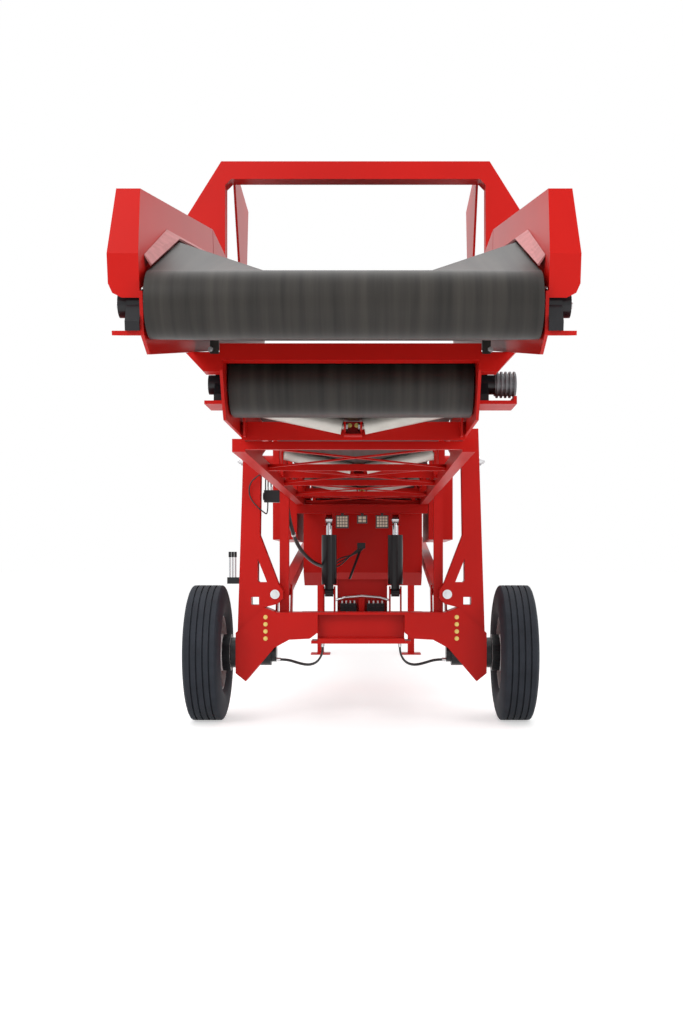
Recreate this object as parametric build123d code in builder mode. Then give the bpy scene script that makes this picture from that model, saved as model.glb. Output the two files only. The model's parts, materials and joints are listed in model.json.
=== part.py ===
from build123d import *
from collections import namedtuple
from math import cos, radians, sin, tan
import os

os.makedirs("parts", exist_ok=True)

# Mobile stacking conveyor, millimetres, +Z up, +X to the right seen from the feed end, +Y towards the
# discharge end. Stations along the machine are counted from the wheel axis and moved by AXLE_Y.

# Wheels and undercarriage
WHEEL_DIA = 1050.0
TYRE_WIDTH = 284.0
TREAD_WIDTH = 232.0
RIM_RADIUS = 292.0
RIM_WIDTH = 210.0
WHEEL_X = 1190.0
SPINDLE_RADIUS = 45.0
SPINDLE_FIT = 0.05
HUB_RADIUS = 140.0
BEAM_HALF = 336.0
BEAM_BOTTOM = 622.0
BEAM_TOP = 841.0
BEAM_DEPTH = 220.0
LEG_NEAR = -95.0
LEG_FAR = 35.0
LEG_TOP = 2262.0
POST_X = 605.0
POST_SIZE = 72.0
POST_Y = 74.0
POST_TOP = 1960.0
TUBE_WALL = 6.0
RUN_GAP = 5.0
SEAT = 0.3

# Boom
LUFF_Z = 2020.0
PIN_RADIUS = 25.0
PIN_FIT = 0.05
BOSS_RADIUS = 42.0
CHORD = 60.0
CHORD_X = 530.0
BOTTOM_CHORD_Z = 1755.0
TOP_CHORD_Z = 2125.0
FLOOR_START = -3700.0
TOP_START = -2850.0
TRUSS_END = 8150.0
BAYS = 9
PLATE = 12.0

# Stacking belt
STACK_BELT = 985.0
BELT = 12.0
STACK_TAIL = (-4259.0, 1945.0, 112.0)
STACK_HEAD = (8300.0, 2040.0, 160.0)
STACK_TROUGH = 20.0
RETURN_VEE = 12.0
ROLL_RADIUS = 45.0
ROLL_SHAFT = 12.0
SHAFT_TIP = 12.0
SHAFT_RADIUS = 32.0
SHAFT_ROOM = 6.0
DRUM_WALL = 14.0

# Pillow blocks of the drums
BLOCK_HALF = 85.0
BLOCK_DROP = 78.0
BLOCK_FOOT = 28.0
BLOCK_SHOULDER = 10.0
BLOCK_RING = 48.0
BLOCK_CAP = 40.0
BLOCK_DEPTH = 44.0
BLOCK_CAP_END = 74.0
BLOCK_BORE = 62.0

# Feeder
FEED_BELT = 1200.0
FEED_LENGTH = 3900.0
FEED_TILT = 11.0
FEED_RADIUS = 92.0
FEED_TROUGH = 18.0
FEED_Y = -5455.0
FEED_Z = 2003.0
FEED_SIDE_X = 608.0
FEED_SIDE = 10.0
WING_FLANGE = 95.0
WING_PLATE = 6.0
ARCH_Y = -3120.0
ARCH_DEPTH = 90.0
ARCH_TOP = 3250.0

# Lift
LIFT_X = 284.0
LIFT_Y = 900.0
LIFT_BASE_Z = 980.0
LIFT_EYE_Z = 1600.0
LIFT_BARREL = 65.0
LIFT_ROD = 26.0
STRUT_X = 615.0
STRUT_BASE = (230.0, 1000.0)
STRUT_EYE = (5500.0, 1690.0)
STRUT_TUBE = 90.0
STRUT_ROD = 73.0

# Far end
LEG_Y = 6700.0
LANDING_TUBE = 88.0
SLEEVE_WALL = 9.0
FOOT = 260.0
FOOT_PLATE = 20.0
TOW_REACH = 9000.0
TOW_BORE = 25.0
TOW_EYE_RADIUS = 60.0

NEAR_REACH = -FEED_Y + FEED_RADIUS + BELT
AXLE_Y = (NEAR_REACH - TOW_REACH - TOW_EYE_RADIUS) / 2
AXLE_Z = WHEEL_DIA / 2
CHORD_IN = CHORD_X - CHORD / 2
CHORD_OUT = CHORD_X + CHORD / 2
BOTH = (-1, 1)


def side(x, y=0.0, z=0.0, tilt=0.0):
    """Side view at x: the first axis runs along the machine from the wheel axis, the second up."""
    turn = radians(tilt)
    return Plane(origin=(x, AXLE_Y + y, z), x_dir=(0, cos(turn), sin(turn)), z_dir=(1, 0, 0))


def feed(x):
    """Side view in the feeder's own tilt: along the belt from the tail drum, and square to it."""
    return side(x, FEED_Y, FEED_Z, FEED_TILT)


def feed_front(along):
    """View from the feed end in the feeder's own tilt; an extrusion on it runs towards the feed end."""
    turn = radians(FEED_TILT)
    origin = (0, AXLE_Y + FEED_Y + along * cos(turn), FEED_Z + along * sin(turn))
    return Plane(origin=origin, x_dir=(1, 0, 0), z_dir=(0, -cos(turn), -sin(turn)))


def front(y):
    """View from the feed end at station y; an extrusion on it runs towards the feed end."""
    return Plane(origin=(0, AXLE_Y + y, 0), x_dir=(1, 0, 0), z_dir=(0, -1, 0))


def slab(points, x0, x1, view=side, mode=Mode.ADD):
    """A side-view outline between two values of x."""
    with BuildSketch(view(min(x0, x1))) as outline:
        Polygon(*points, align=None)
    extrude(outline.sketch, amount=abs(x1 - x0), mode=mode)


def panel(points, y0, y1, mode=Mode.ADD):
    """A front-view outline between two stations."""
    with BuildSketch(front(max(y0, y1))) as outline:
        Polygon(*points, align=None)
    extrude(outline.sketch, amount=abs(y1 - y0), mode=mode)


def block(x0, x1, y0, y1, z0, z1, mode=Mode.ADD):
    """A box between two values on each axis, with y counted from the wheel axis."""
    with Locations(((x0 + x1) / 2, AXLE_Y + (y0 + y1) / 2, (z0 + z1) / 2)):
        Box(abs(x1 - x0), abs(y1 - y0), abs(z1 - z0), mode=mode)


def bar(y, z, radius, x0, x1, view=side, mode=Mode.ADD):
    """A round bar along x."""
    with BuildSketch(view(min(x0, x1))) as outline:
        with Locations((y, z)):
            Circle(radius)
    extrude(outline.sketch, amount=abs(x1 - x0), mode=mode)


def ring(y, z, outer, inner, x0, x1, view=side):
    """A round tube along x."""
    with BuildSketch(view(min(x0, x1))) as outline:
        with Locations((y, z)):
            Circle(outer)
            Circle(inner, mode=Mode.SUBTRACT)
    extrude(outline.sketch, amount=abs(x1 - x0))


def rod_between(start, end, radius, mode=Mode.ADD):
    """A round bar between two points given as x, station, z."""
    a = Vector(start[0], AXLE_Y + start[1], start[2])
    b = Vector(end[0], AXLE_Y + end[1], end[2])
    with BuildSketch(Plane(origin=a, z_dir=b - a)) as outline:
        Circle(radius)
    extrude(outline.sketch, amount=(b - a).length, mode=mode)


def shaft_between(start, end, tip, radius, mode=Mode.ADD):
    """A round bar that runs past both points by tip."""
    a, b = Vector(*start), Vector(*end)
    reach = (b - a).normalized() * tip
    rod_between(tuple(a - reach), tuple(b + reach), radius, mode)


def belt_outline(half, flat, angle):
    """Section of a belt with a flat middle and two raised wings, its lower face at the origin."""
    turn = radians(angle)
    wing = half - flat
    edge = (flat + wing * cos(turn), wing * sin(turn))
    inner = flat - BELT * tan(turn / 2)
    rim = (edge[0] - BELT * sin(turn), edge[1] + BELT * cos(turn))
    lower = [(-edge[0], edge[1]), (-flat, 0), (flat, 0), edge]
    return lower + [rim, (inner, BELT), (-inner, BELT), (-rim[0], rim[1])]


def belt_run(stations, half, flat, tilt=0.0, y=0.0, z=0.0):
    """Lofts a strand through (along, height, angle) stations of a side view."""
    turn = radians(tilt)
    for first, second in zip(stations, stations[1:]):
        ends = []
        for along, height, angle in (first, second):
            corners = []
            for x, up in belt_outline(half, flat, angle):
                level = height + up
                corners.append((x, AXLE_Y + y + along * cos(turn) - level * sin(turn),
                                z + along * sin(turn) + level * cos(turn)))
            ends.append(Face(Wire.make_polygon(corners)))
        loft(ends, ruled=True)


def belt_wrap(along, height, radius, half, towards, view):
    """Half a turn of belt round a drum, on the side that towards names."""
    reach = radius + BELT
    with BuildSketch(view(-half)) as outline:
        with Locations((along, height)):
            Circle(reach)
            Circle(radius, mode=Mode.SUBTRACT)
        with Locations((along - towards * reach, height)):
            Rectangle(2 * reach, 2 * reach, mode=Mode.SUBTRACT)
    extrude(outline.sketch, amount=2 * half)


def drum(along, height, radius, face_half, reach, view):
    """A drum with its through shaft."""
    ring(along, height, radius, radius - DRUM_WALL, -face_half, face_half, view)
    for sign in BOTH:
        bar(along, height, radius - DRUM_WALL, sign * (face_half - DRUM_WALL), sign * face_half, view)
    bar(along, height, SHAFT_RADIUS, -reach, reach, view)


def bearing(along, height, x0, sign, view):
    """A pillow block on the outer face of a side plate, bored for the drum shaft."""
    inner = sign * x0
    foot = sign * (x0 + BLOCK_DEPTH)
    cap = sign * (x0 + BLOCK_CAP_END)
    half = [(BLOCK_HALF, -BLOCK_DROP), (BLOCK_HALF, BLOCK_FOOT - BLOCK_DROP), (BLOCK_CAP, BLOCK_SHOULDER)]
    outline = half + [(-across, up) for across, up in reversed(half)]
    slab([(along + across, height + up) for across, up in outline], inner, foot, view)
    bar(along, height, BLOCK_RING, inner, foot, view)
    bar(along, height, BLOCK_CAP, foot, cap, view)
    bar(along, height, SHAFT_RADIUS + SEAT, inner, sign * (x0 + BLOCK_BORE), view, mode=Mode.SUBTRACT)


def save(piece, name):
    piece.part.label = name
    export_step(piece.part, f"parts/{name}.step")


# Axle beam: a rolled I-section with a plate under it
FLANGE = 18.0
WEB = 14.0
UNDER_PLATE = 22.0
with BuildPart() as axle_beam:
    half = BEAM_DEPTH / 2
    block(-BEAM_HALF, BEAM_HALF, -half, half, BEAM_TOP - FLANGE, BEAM_TOP)
    block(-BEAM_HALF, BEAM_HALF, -half, half, BEAM_BOTTOM, BEAM_BOTTOM + FLANGE)
    block(-BEAM_HALF, BEAM_HALF, -WEB / 2, WEB / 2, BEAM_BOTTOM, BEAM_TOP)
    block(-BEAM_HALF - 50, BEAM_HALF + 50, -half, half, BEAM_BOTTOM - UNDER_PLATE, BEAM_BOTTOM)
save(axle_beam, "axle_beam")

# Cranked arms from the beam to the wheels
ARM_OUTER = 969.0
ARM_SHOULDER = (750.0, 880.0)
ARM_CORNER = (ARM_OUTER, 684.0)
ARM = [(650, BEAM_TOP), ARM_SHOULDER, ARM_CORNER, (ARM_OUTER, 372), (891, 309), (672, 567), (555, 630),
       (398, 638), (BEAM_HALF, 684), (BEAM_HALF, BEAM_TOP)]


def mirrored(points, sign):
    return [(sign * x, z) for x, z in points]


with BuildPart() as axle_arms:
    for sign in BOTH:
        panel(mirrored(ARM, sign), -BEAM_DEPTH / 2, BEAM_DEPTH / 2)
save(axle_arms, "axle_arms")

# Wheel motors behind the arms, and the spindles in front of them
MOTOR_IN = 700.0
MOTOR_RADIUS = 100.0
CARRIER_RADIUS = 118.0
CARRIER = 38.0
SPINDLE_END = 1150.0
with BuildPart() as wheel_motors:
    for sign in BOTH:
        bar(0, AXLE_Z, MOTOR_RADIUS, sign * MOTOR_IN, sign * (MOTOR_IN + 190))
        bar(0, AXLE_Z, MOTOR_RADIUS * 0.72, sign * (MOTOR_IN - 40), sign * MOTOR_IN)
        panel(mirrored(ARM, sign), -BEAM_DEPTH / 2, BEAM_DEPTH / 2, mode=Mode.SUBTRACT)
    for sign in BOTH:
        bar(0, AXLE_Z, CARRIER_RADIUS, sign * ARM_OUTER, sign * (ARM_OUTER + CARRIER))
        bar(0, AXLE_Z, SPINDLE_RADIUS, sign * ARM_OUTER, sign * SPINDLE_END)
save(wheel_motors, "wheel_motors")

# Outer legs with their braced feet
PIVOT_INNER = 773.0
PIVOT_OUTER = 906.0
LEG_FOOT_OUT = 955.0


def arm_top(x):
    """Height of the arm's sloping shoulder at x."""
    share = (x - ARM_SHOULDER[0]) / (ARM_CORNER[0] - ARM_SHOULDER[0])
    return ARM_SHOULDER[1] + share * (ARM_CORNER[1] - ARM_SHOULDER[1])


GUSSET_TOP = 1440.0
LEG = [(PIVOT_INNER, LEG_TOP), (PIVOT_OUTER, LEG_TOP), (LEG_FOOT_OUT, arm_top(LEG_FOOT_OUT)), ARM_SHOULDER,
       (650, 905), (606, 950), (606, 1010), (640, 1060), (785, GUSSET_TOP)]
WINDOW = [(728, 1075), (790, 1075), (800, 1085), (800, 1255)]
SMALL_WINDOW = [(790, 900), (850, 900), (850, 960), (790, 960)]
with BuildPart() as outer_legs:
    for sign in BOTH:
        panel(mirrored(LEG, sign), LEG_NEAR, LEG_FAR)
        panel(mirrored(WINDOW, sign), LEG_NEAR, LEG_FAR, mode=Mode.SUBTRACT)
        panel(mirrored(SMALL_WINDOW, sign), LEG_NEAR, LEG_FAR, mode=Mode.SUBTRACT)
        bar(0, LUFF_Z, PIN_RADIUS + SEAT, sign * (PIVOT_INNER - 20), sign * 1000, mode=Mode.SUBTRACT)
save(outer_legs, "outer_legs")

# Pivot pins through the legs into the boom's bosses
PIN_HEAD = 38.0
with BuildPart() as pivot_pins:
    for sign in BOTH:
        bar(0, LUFF_Z, PIN_RADIUS, sign * 640, sign * 920)
        bar(0, LUFF_Z, PIN_HEAD, sign * 918, sign * 936)
save(pivot_pins, "pivot_pins")

# Square rest posts inside the legs
with BuildPart() as inner_posts:
    for sign in BOTH:
        x0 = sign * (POST_X - POST_SIZE / 2)
        x1 = sign * (POST_X + POST_SIZE / 2)
        block(x0, x1, POST_Y - POST_SIZE / 2, POST_Y + POST_SIZE / 2, BEAM_TOP, POST_TOP)
        inset = POST_SIZE / 2 - TUBE_WALL
        block(sign * (POST_X - inset), sign * (POST_X + inset), POST_Y - inset, POST_Y + inset,
              BEAM_TOP, POST_TOP - TUBE_WALL, mode=Mode.SUBTRACT)
save(inner_posts, "inner_posts")

# Rear frame that carries the lift cylinders and the struts' feet
FRAME_ARM_X = 470.0
FRAME_TUBE = 90.0
FRAME_LOW = 720.0
FRAME_TOP = FRAME_LOW + FRAME_TUBE
FRAME_REAR = LIFT_Y + 55
CHEEK = 14.0
BASE_CHEEK_IN = 40.0
STRUT_CHEEK_IN = STRUT_TUBE / 2 + RUN_GAP
with BuildPart() as rear_frame:
    for sign in BOTH:
        x0 = sign * (FRAME_ARM_X - FRAME_TUBE / 2)
        x1 = sign * (FRAME_ARM_X + FRAME_TUBE / 2)
        block(x0, x1, BEAM_DEPTH / 2, FRAME_REAR, FRAME_LOW, FRAME_TOP)
        for cheek in BOTH:
            x_in = sign * LIFT_X + cheek * BASE_CHEEK_IN
            slab([(LIFT_Y - 50, FRAME_TOP), (LIFT_Y + 50, FRAME_TOP), (LIFT_Y + 50, LIFT_BASE_Z),
                  (LIFT_Y + 30, LIFT_BASE_Z + 45), (LIFT_Y - 30, LIFT_BASE_Z + 45),
                  (LIFT_Y - 50, LIFT_BASE_Z)], x_in, x_in + cheek * CHEEK)
            x_strut = sign * STRUT_X + cheek * STRUT_CHEEK_IN
            slab([(BEAM_DEPTH / 2, 660), (BEAM_DEPTH / 2 + 90, 700), (STRUT_BASE[0] + 60, STRUT_BASE[1]),
                  (STRUT_BASE[0] + 30, STRUT_BASE[1] + 50), (STRUT_BASE[0] - 40, STRUT_BASE[1] + 50),
                  (BEAM_DEPTH / 2, BEAM_TOP)], x_strut, x_strut + cheek * CHEEK)
        bar(LIFT_Y, LIFT_BASE_Z, PIN_RADIUS, sign * LIFT_X - BASE_CHEEK_IN, sign * LIFT_X + BASE_CHEEK_IN)
        bar(*STRUT_BASE, PIN_RADIUS, sign * STRUT_X - STRUT_CHEEK_IN, sign * STRUT_X + STRUT_CHEEK_IN)
    block(-FRAME_ARM_X, FRAME_ARM_X, LIFT_Y - 55, FRAME_REAR, FRAME_LOW, FRAME_TOP)
save(rear_frame, "rear_frame")

# Hydraulic valve block on the left post
with BuildPart() as valve_block:
    post_face = POST_X + POST_SIZE / 2
    block(-post_face, -post_face - 122, POST_Y - 40, POST_Y + 40, 1700, 1795)
    bar(POST_Y, 1748, 30, -post_face - 122, -post_face - 132)
save(valve_block, "valve_block")

# Three hand levers on the left leg
LEVER_X = 990.0
LEVER_PITCH = 22.0
LEVER_Y = -30.0
with BuildPart() as control_levers:
    block(-930, -1036, LEVER_Y - 45, LEVER_Y + 45, 1064, 1110)
    panel(mirrored(LEG, -1), LEG_NEAR, LEG_FAR, mode=Mode.SUBTRACT)
    for count in range(3):
        x = -LEVER_X - (count - 0.5) * LEVER_PITCH
        rod_between((x, LEVER_Y, 1105), (x, LEVER_Y, 1290), 6)
        rod_between((x, LEVER_Y, 1270), (x, LEVER_Y, 1310), 9.5)
save(control_levers, "control_levers")


# Wheels: ribbed road tyres on dished steel rims
def wheel_section(points, sign):
    """Places (across, radius) points of a wheel section on the wheel's own axis."""
    axle = Plane(origin=(sign * WHEEL_X, AXLE_Y, AXLE_Z), x_dir=(sign, 0, 0), z_dir=(0, -sign, 0))
    with BuildSketch(axle) as outline:
        Polygon(*points, align=None)
    revolve(outline.sketch, axis=Axis((0, AXLE_Y, AXLE_Z), (1, 0, 0)))


SHOULDER = 14.0
TYRE_HALF = [(RIM_WIDTH / 2, RIM_RADIUS), (TYRE_WIDTH / 2 - 6, 335), (TYRE_WIDTH / 2, 400),
             (TYRE_WIDTH / 2 - 9, 465), (TREAD_WIDTH / 2 + 6, WHEEL_DIA / 2 - SHOULDER),
             (TREAD_WIDTH / 2 - 8, WHEEL_DIA / 2)]  # across, radius
TYRE = TYRE_HALF + [(-x, radius) for x, radius in reversed(TYRE_HALF)]
RIM_SKIN = 10.0
DISC_IN = ARM_OUTER + CARRIER + RUN_GAP - WHEEL_X
HUB_END = SPINDLE_END + 30 - WHEEL_X
BARREL_IN = RIM_RADIUS - SEAT - RIM_SKIN
BORE = SPINDLE_RADIUS + SPINDLE_FIT
RIM = [(DISC_IN, BORE), (DISC_IN, HUB_RADIUS), (DISC_IN + 60, HUB_RADIUS), (60, 190), (60, BARREL_IN),
       (-RIM_WIDTH / 2, BARREL_IN), (-RIM_WIDTH / 2, RIM_RADIUS - SEAT), (RIM_WIDTH / 2, RIM_RADIUS - SEAT),
       (RIM_WIDTH / 2, BARREL_IN), (76, BARREL_IN), (76, 184), (DISC_IN + 80, 128), (HUB_END, 110),
       (HUB_END, 0), (SPINDLE_END + SEAT - WHEEL_X, 0), (SPINDLE_END + SEAT - WHEEL_X, BORE)]
for side_name, sign in (("left", -1), ("right", 1)):
    with BuildPart() as tyre:
        wheel_section(TYRE, sign)
    save(tyre, f"tyre_{side_name}")
    with BuildPart() as rim:
        wheel_section(RIM, sign)
    save(rim, f"rim_{side_name}")

# Truss: four chords, two lattice sides and a braced floor
TRUSS_TABLE = [(BOTTOM_CHORD_Z, FLOOR_START), (TOP_CHORD_Z, TOP_START)]  # height, start
with BuildPart() as truss_chords:
    for sign in BOTH:
        for height, start in TRUSS_TABLE:
            block(sign * CHORD_IN, sign * CHORD_OUT, start, TRUSS_END,
                  height - CHORD / 2, height + CHORD / 2)
            core = CHORD / 2 - TUBE_WALL
            block(sign * (CHORD_X - core), sign * (CHORD_X + core), start + TUBE_WALL,
                  TRUSS_END - TUBE_WALL, height - core, height + core, mode=Mode.SUBTRACT)
save(truss_chords, "truss_chords")

MEMBER = 40.0
LOW = BOTTOM_CHORD_Z + CHORD / 2
HIGH = TOP_CHORD_Z - CHORD / 2
BAY = (TRUSS_END - TOP_START - MEMBER) / BAYS
with BuildPart() as truss_sides:
    for sign in BOTH:
        x0 = sign * (CHORD_X - MEMBER / 2)
        x1 = sign * (CHORD_X + MEMBER / 2)
        for count in range(BAYS + 1):
            y = TOP_START + MEMBER / 2 + count * BAY
            block(x0, x1, y - MEMBER / 2, y + MEMBER / 2, LOW, HIGH)
            if count < BAYS:
                rising = count % 2 == 0
                ends = [(y, LOW), (y + BAY, HIGH)] if rising else [(y, HIGH), (y + BAY, LOW)]
                thick = MEMBER * 0.8
                (ya, za), (yb, zb) = ends
                slope = thick if rising else -thick
                slab([(ya, za), (ya, za + slope), (yb, zb), (yb, zb - slope)], x0, x1)
save(truss_sides, "truss_sides")

FLOOR_MEMBER = 36.0
FLOOR_BAYS = 10
FLOOR_PITCH = (TRUSS_END - FLOOR_START - FLOOR_MEMBER) / FLOOR_BAYS
BRACE = 34.0
with BuildPart() as truss_floor:
    for count in range(FLOOR_BAYS + 1):
        y = FLOOR_START + FLOOR_MEMBER / 2 + count * FLOOR_PITCH
        block(-CHORD_IN, CHORD_IN, y - FLOOR_MEMBER / 2, y + FLOOR_MEMBER / 2,
              BOTTOM_CHORD_Z - 18, BOTTOM_CHORD_Z + 18)
        if count < FLOOR_BAYS:
            for sign in BOTH:
                with BuildSketch(Plane.XY.offset(BOTTOM_CHORD_Z - 4)):
                    ya, yb = AXLE_Y + y, AXLE_Y + y + FLOOR_PITCH
                    Polygon((sign * -CHORD_IN, ya), (sign * -CHORD_IN, ya + BRACE), (sign * CHORD_IN, yb),
                            (sign * CHORD_IN, yb - BRACE), align=None)
                extrude(amount=8)
save(truss_floor, "truss_floor")

# Tail frame: two shaped side plates with the cross beam in front of the stacking belt
TAIL_Y, TAIL_Z, TAIL_R = STACK_TAIL
TAIL_PLATE_IN = CHORD_IN
TAIL_PLATE_OUT = CHORD_IN + PLATE
CROSS_Y = -4500.0
CROSS_DEPTH = 80.0
CROSS_LOW = 2005.0
CROSS_HIGH = 2070.0
TAIL_PLATE = [(TOP_START, LOW), (TOP_START, TOP_CHORD_Z + 30), (-3300, TOP_CHORD_Z + 30), (-3700, 2080),
              (-4300, 2060), (CROSS_Y + CROSS_DEPTH, CROSS_HIGH), (CROSS_Y, CROSS_HIGH),
              (CROSS_Y, CROSS_LOW - 40), (-4440, 1860), (-4380, LOW)]
with BuildPart() as tail_frame:
    for sign in BOTH:
        slab(TAIL_PLATE, sign * TAIL_PLATE_IN, sign * TAIL_PLATE_OUT)
        bar(TAIL_Y, TAIL_Z, SHAFT_RADIUS + SHAFT_ROOM, sign * (TAIL_PLATE_IN - 5),
            sign * (TAIL_PLATE_OUT + 5), mode=Mode.SUBTRACT)
    block(-TAIL_PLATE_IN, TAIL_PLATE_IN, CROSS_Y, CROSS_Y + CROSS_DEPTH, CROSS_LOW, CROSS_HIGH)
save(tail_frame, "tail_frame")

# Head frame: side plates that carry the discharge drum
HEAD_Y, HEAD_Z, HEAD_R = STACK_HEAD
HEAD_PLATE = [(7700, LOW), (TRUSS_END + 60, LOW), (HEAD_Y + 120, HEAD_Z - 90), (HEAD_Y + 120, HEAD_Z + 60),
              (HEAD_Y - 60, HIGH), (7700, HIGH)]
with BuildPart() as head_frame:
    for sign in BOTH:
        slab(HEAD_PLATE, sign * CHORD_IN, sign * (CHORD_IN + PLATE))
        block(sign * (CHORD_X - MEMBER / 2), sign * (CHORD_X + MEMBER / 2), 7600, TRUSS_END, LOW, HIGH,
              mode=Mode.SUBTRACT)
        bar(HEAD_Y, HEAD_Z, SHAFT_RADIUS + SHAFT_ROOM, sign * (CHORD_IN - 5), sign * (CHORD_IN + 40),
            mode=Mode.SUBTRACT)
save(head_frame, "head_frame")

# Stacking belt, one closed loop, troughed on top and in a vee below
STACK_HALF = STACK_BELT / 2
CARRY_Z = 2200.0
CARRY_START = -2900.0
CARRY_END = 7650.0
VEE_START = -3950.0
VEE_END = 7450.0
VEE_FLAT = 20.0
LEAD = 85.0
PAST = 60.0
VEE_Z = 1850.0
STACK_FLAT = 180.0
with BuildPart() as stacker_belt:
    belt_run([(TAIL_Y, TAIL_Z + TAIL_R, 0), (CARRY_START, CARRY_Z, STACK_TROUGH),
              (CARRY_END, CARRY_Z, STACK_TROUGH), (HEAD_Y, HEAD_Z + HEAD_R, 0)], STACK_HALF, STACK_FLAT)
    belt_run([(TAIL_Y, TAIL_Z - TAIL_R - BELT, 0), (TAIL_Y + LEAD, TAIL_Z - TAIL_R - BELT, 0),
              (VEE_START, VEE_Z, RETURN_VEE),
              (VEE_END, VEE_Z, RETURN_VEE), (HEAD_Y - LEAD, HEAD_Z - HEAD_R - BELT, 0),
              (HEAD_Y, HEAD_Z - HEAD_R - BELT, 0)], STACK_HALF, VEE_FLAT)
    belt_wrap(TAIL_Y, TAIL_Z, TAIL_R, STACK_HALF, -1, side)
    belt_wrap(HEAD_Y, HEAD_Z, HEAD_R, STACK_HALF, 1, side)
save(stacker_belt, "stacker_belt")

DRUM_SLACK = SEAT
STACK_SHAFT = TAIL_PLATE_OUT + 60
with BuildPart() as stacker_drums:
    drum(TAIL_Y, TAIL_Z, TAIL_R - DRUM_SLACK, STACK_HALF, STACK_SHAFT, side)
    drum(HEAD_Y, HEAD_Z, HEAD_R - DRUM_SLACK, STACK_HALF, STACK_SHAFT, side)
save(stacker_drums, "stacker_drums")

with BuildPart() as stacker_bearings:
    for sign in BOTH:
        bearing(TAIL_Y, TAIL_Z, TAIL_PLATE_OUT, sign, side)
        bearing(HEAD_Y, HEAD_Z, TAIL_PLATE_OUT, sign, side)
save(stacker_bearings, "stacker_bearings")

# Ribbed motors on the right-hand ends of the two drum shafts
MOTOR_START = TAIL_PLATE_OUT + BLOCK_CAP_END
with BuildPart() as belt_motors:
    for along, height, radius, length in ((TAIL_Y, TAIL_Z, 54, 88), (HEAD_Y, HEAD_Z, 90, 160)):
        bar(along, height, radius - 8, MOTOR_START, MOTOR_START + length)
        ribs = 5
        for count in range(ribs):
            x = MOTOR_START + 8 + count * (length - 18) / (ribs - 1)
            bar(along, height, radius, x, x + 7)
save(belt_motors, "belt_motors")


# Idlers: a base bar with brackets, and three rolls on shafts between them
Idler = namedtuple("Idler", "stations y z tilt low_face flat half angle base_half base_drop")
IDLER_BASE = 12.0
ROLL_GAP = 14.0
ROLL_INSET = 25.0


def idler_rolls(idler):
    """Yields, for each station, the height of its middle roll and the ends of its three rolls."""
    turn, lean = radians(idler.angle), radians(idler.tilt)
    flat_end = idler.flat - ROLL_GAP
    drop = ROLL_RADIUS + SEAT

    def world(x, along, height):
        y = idler.y + along * cos(lean) - height * sin(lean)
        return (x, y, idler.z + along * sin(lean) + height * cos(lean))

    for along in idler.stations:
        height = idler.low_face - drop
        ends = [(world(-flat_end, along, height), world(flat_end, along, height))]
        for sign in BOTH:
            points = []
            for reach in (6, idler.half - idler.flat - ROLL_INSET):
                x = idler.flat + reach * cos(turn) + drop * sin(turn)
                points.append(world(sign * x, along, idler.low_face + reach * sin(turn) - drop * cos(turn)))
            ends.append(tuple(points))
        yield along, height, ends


def add_rolls(idler):
    for along, height, ends in idler_rolls(idler):
        for start, end in ends:
            rod_between(start, end, ROLL_RADIUS)
            shaft_between(start, end, SHAFT_TIP, ROLL_SHAFT)


def add_frames(idler, view):
    turn = radians(idler.angle)
    wing = idler.half - idler.flat
    base = idler.low_face - idler.base_drop
    top_face = base + IDLER_BASE
    for along, height, ends in idler_rolls(idler):
        slab([(along - 35, base), (along + 35, base), (along + 35, top_face), (along - 35, top_face)],
             -idler.base_half, idler.base_half, view)
        tip = (idler.flat + wing * cos(turn) - 22, height + wing * sin(turn) + 12)
        brackets = [(idler.flat, height + 22), tip]
        for sign in BOTH:
            for x, top in brackets:
                slab([(along - 22, top_face), (along + 22, top_face), (along + 16, top), (along - 16, top)],
                     sign * (x - 5), sign * (x + 5), view)
    for along, height, ends in idler_rolls(idler):
        for start, end in ends:
            shaft_between(start, end, SHAFT_TIP + 4, ROLL_SHAFT + SEAT / 2, mode=Mode.SUBTRACT)
            rod_between(start, end, ROLL_RADIUS + SEAT, mode=Mode.SUBTRACT)


CARRY_PITCH = 1300.0
CARRY_STATIONS = [CARRY_START + PAST + count * CARRY_PITCH for count in range(9)]
CARRY = Idler(CARRY_STATIONS, 0, 0, 0, CARRY_Z, STACK_FLAT, STACK_HALF, STACK_TROUGH, CHORD_IN, 120)
with BuildPart() as carry_rolls:
    add_rolls(CARRY)
save(carry_rolls, "carry_rolls")
with BuildPart() as carry_frames:
    add_frames(CARRY, side)
save(carry_frames, "carry_frames")

# Return idlers: two pale rolls in a vee, hung from a cross plate with a centre bracket
VEE_PITCH = 2200.0
VEE_STATIONS = [VEE_START + PAST + count * VEE_PITCH for count in range(6)]
VEE_RADIUS = 36.0
VEE_TIP = 16.0
VEE_IN = 48.0
VEE_OUT = 470.0


def vee_ends(y):
    """Ends of the two rolls of a vee idler at station y."""
    turn = radians(RETURN_VEE)
    drop = (VEE_RADIUS + SEAT) / cos(turn)
    for sign in BOTH:
        inner = (sign * VEE_IN, y, VEE_Z + (VEE_IN - VEE_FLAT) * tan(turn) - drop)
        outer = (sign * VEE_OUT, y, VEE_Z + (VEE_OUT - VEE_FLAT) * tan(turn) - drop)
        yield sign, inner, outer


with BuildPart() as vee_rolls:
    for y in VEE_STATIONS:
        for sign, inner, outer in vee_ends(y):
            rod_between(inner, outer, VEE_RADIUS)
            shaft_between(inner, outer, VEE_TIP, ROLL_SHAFT)
save(vee_rolls, "vee_rolls")

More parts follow.
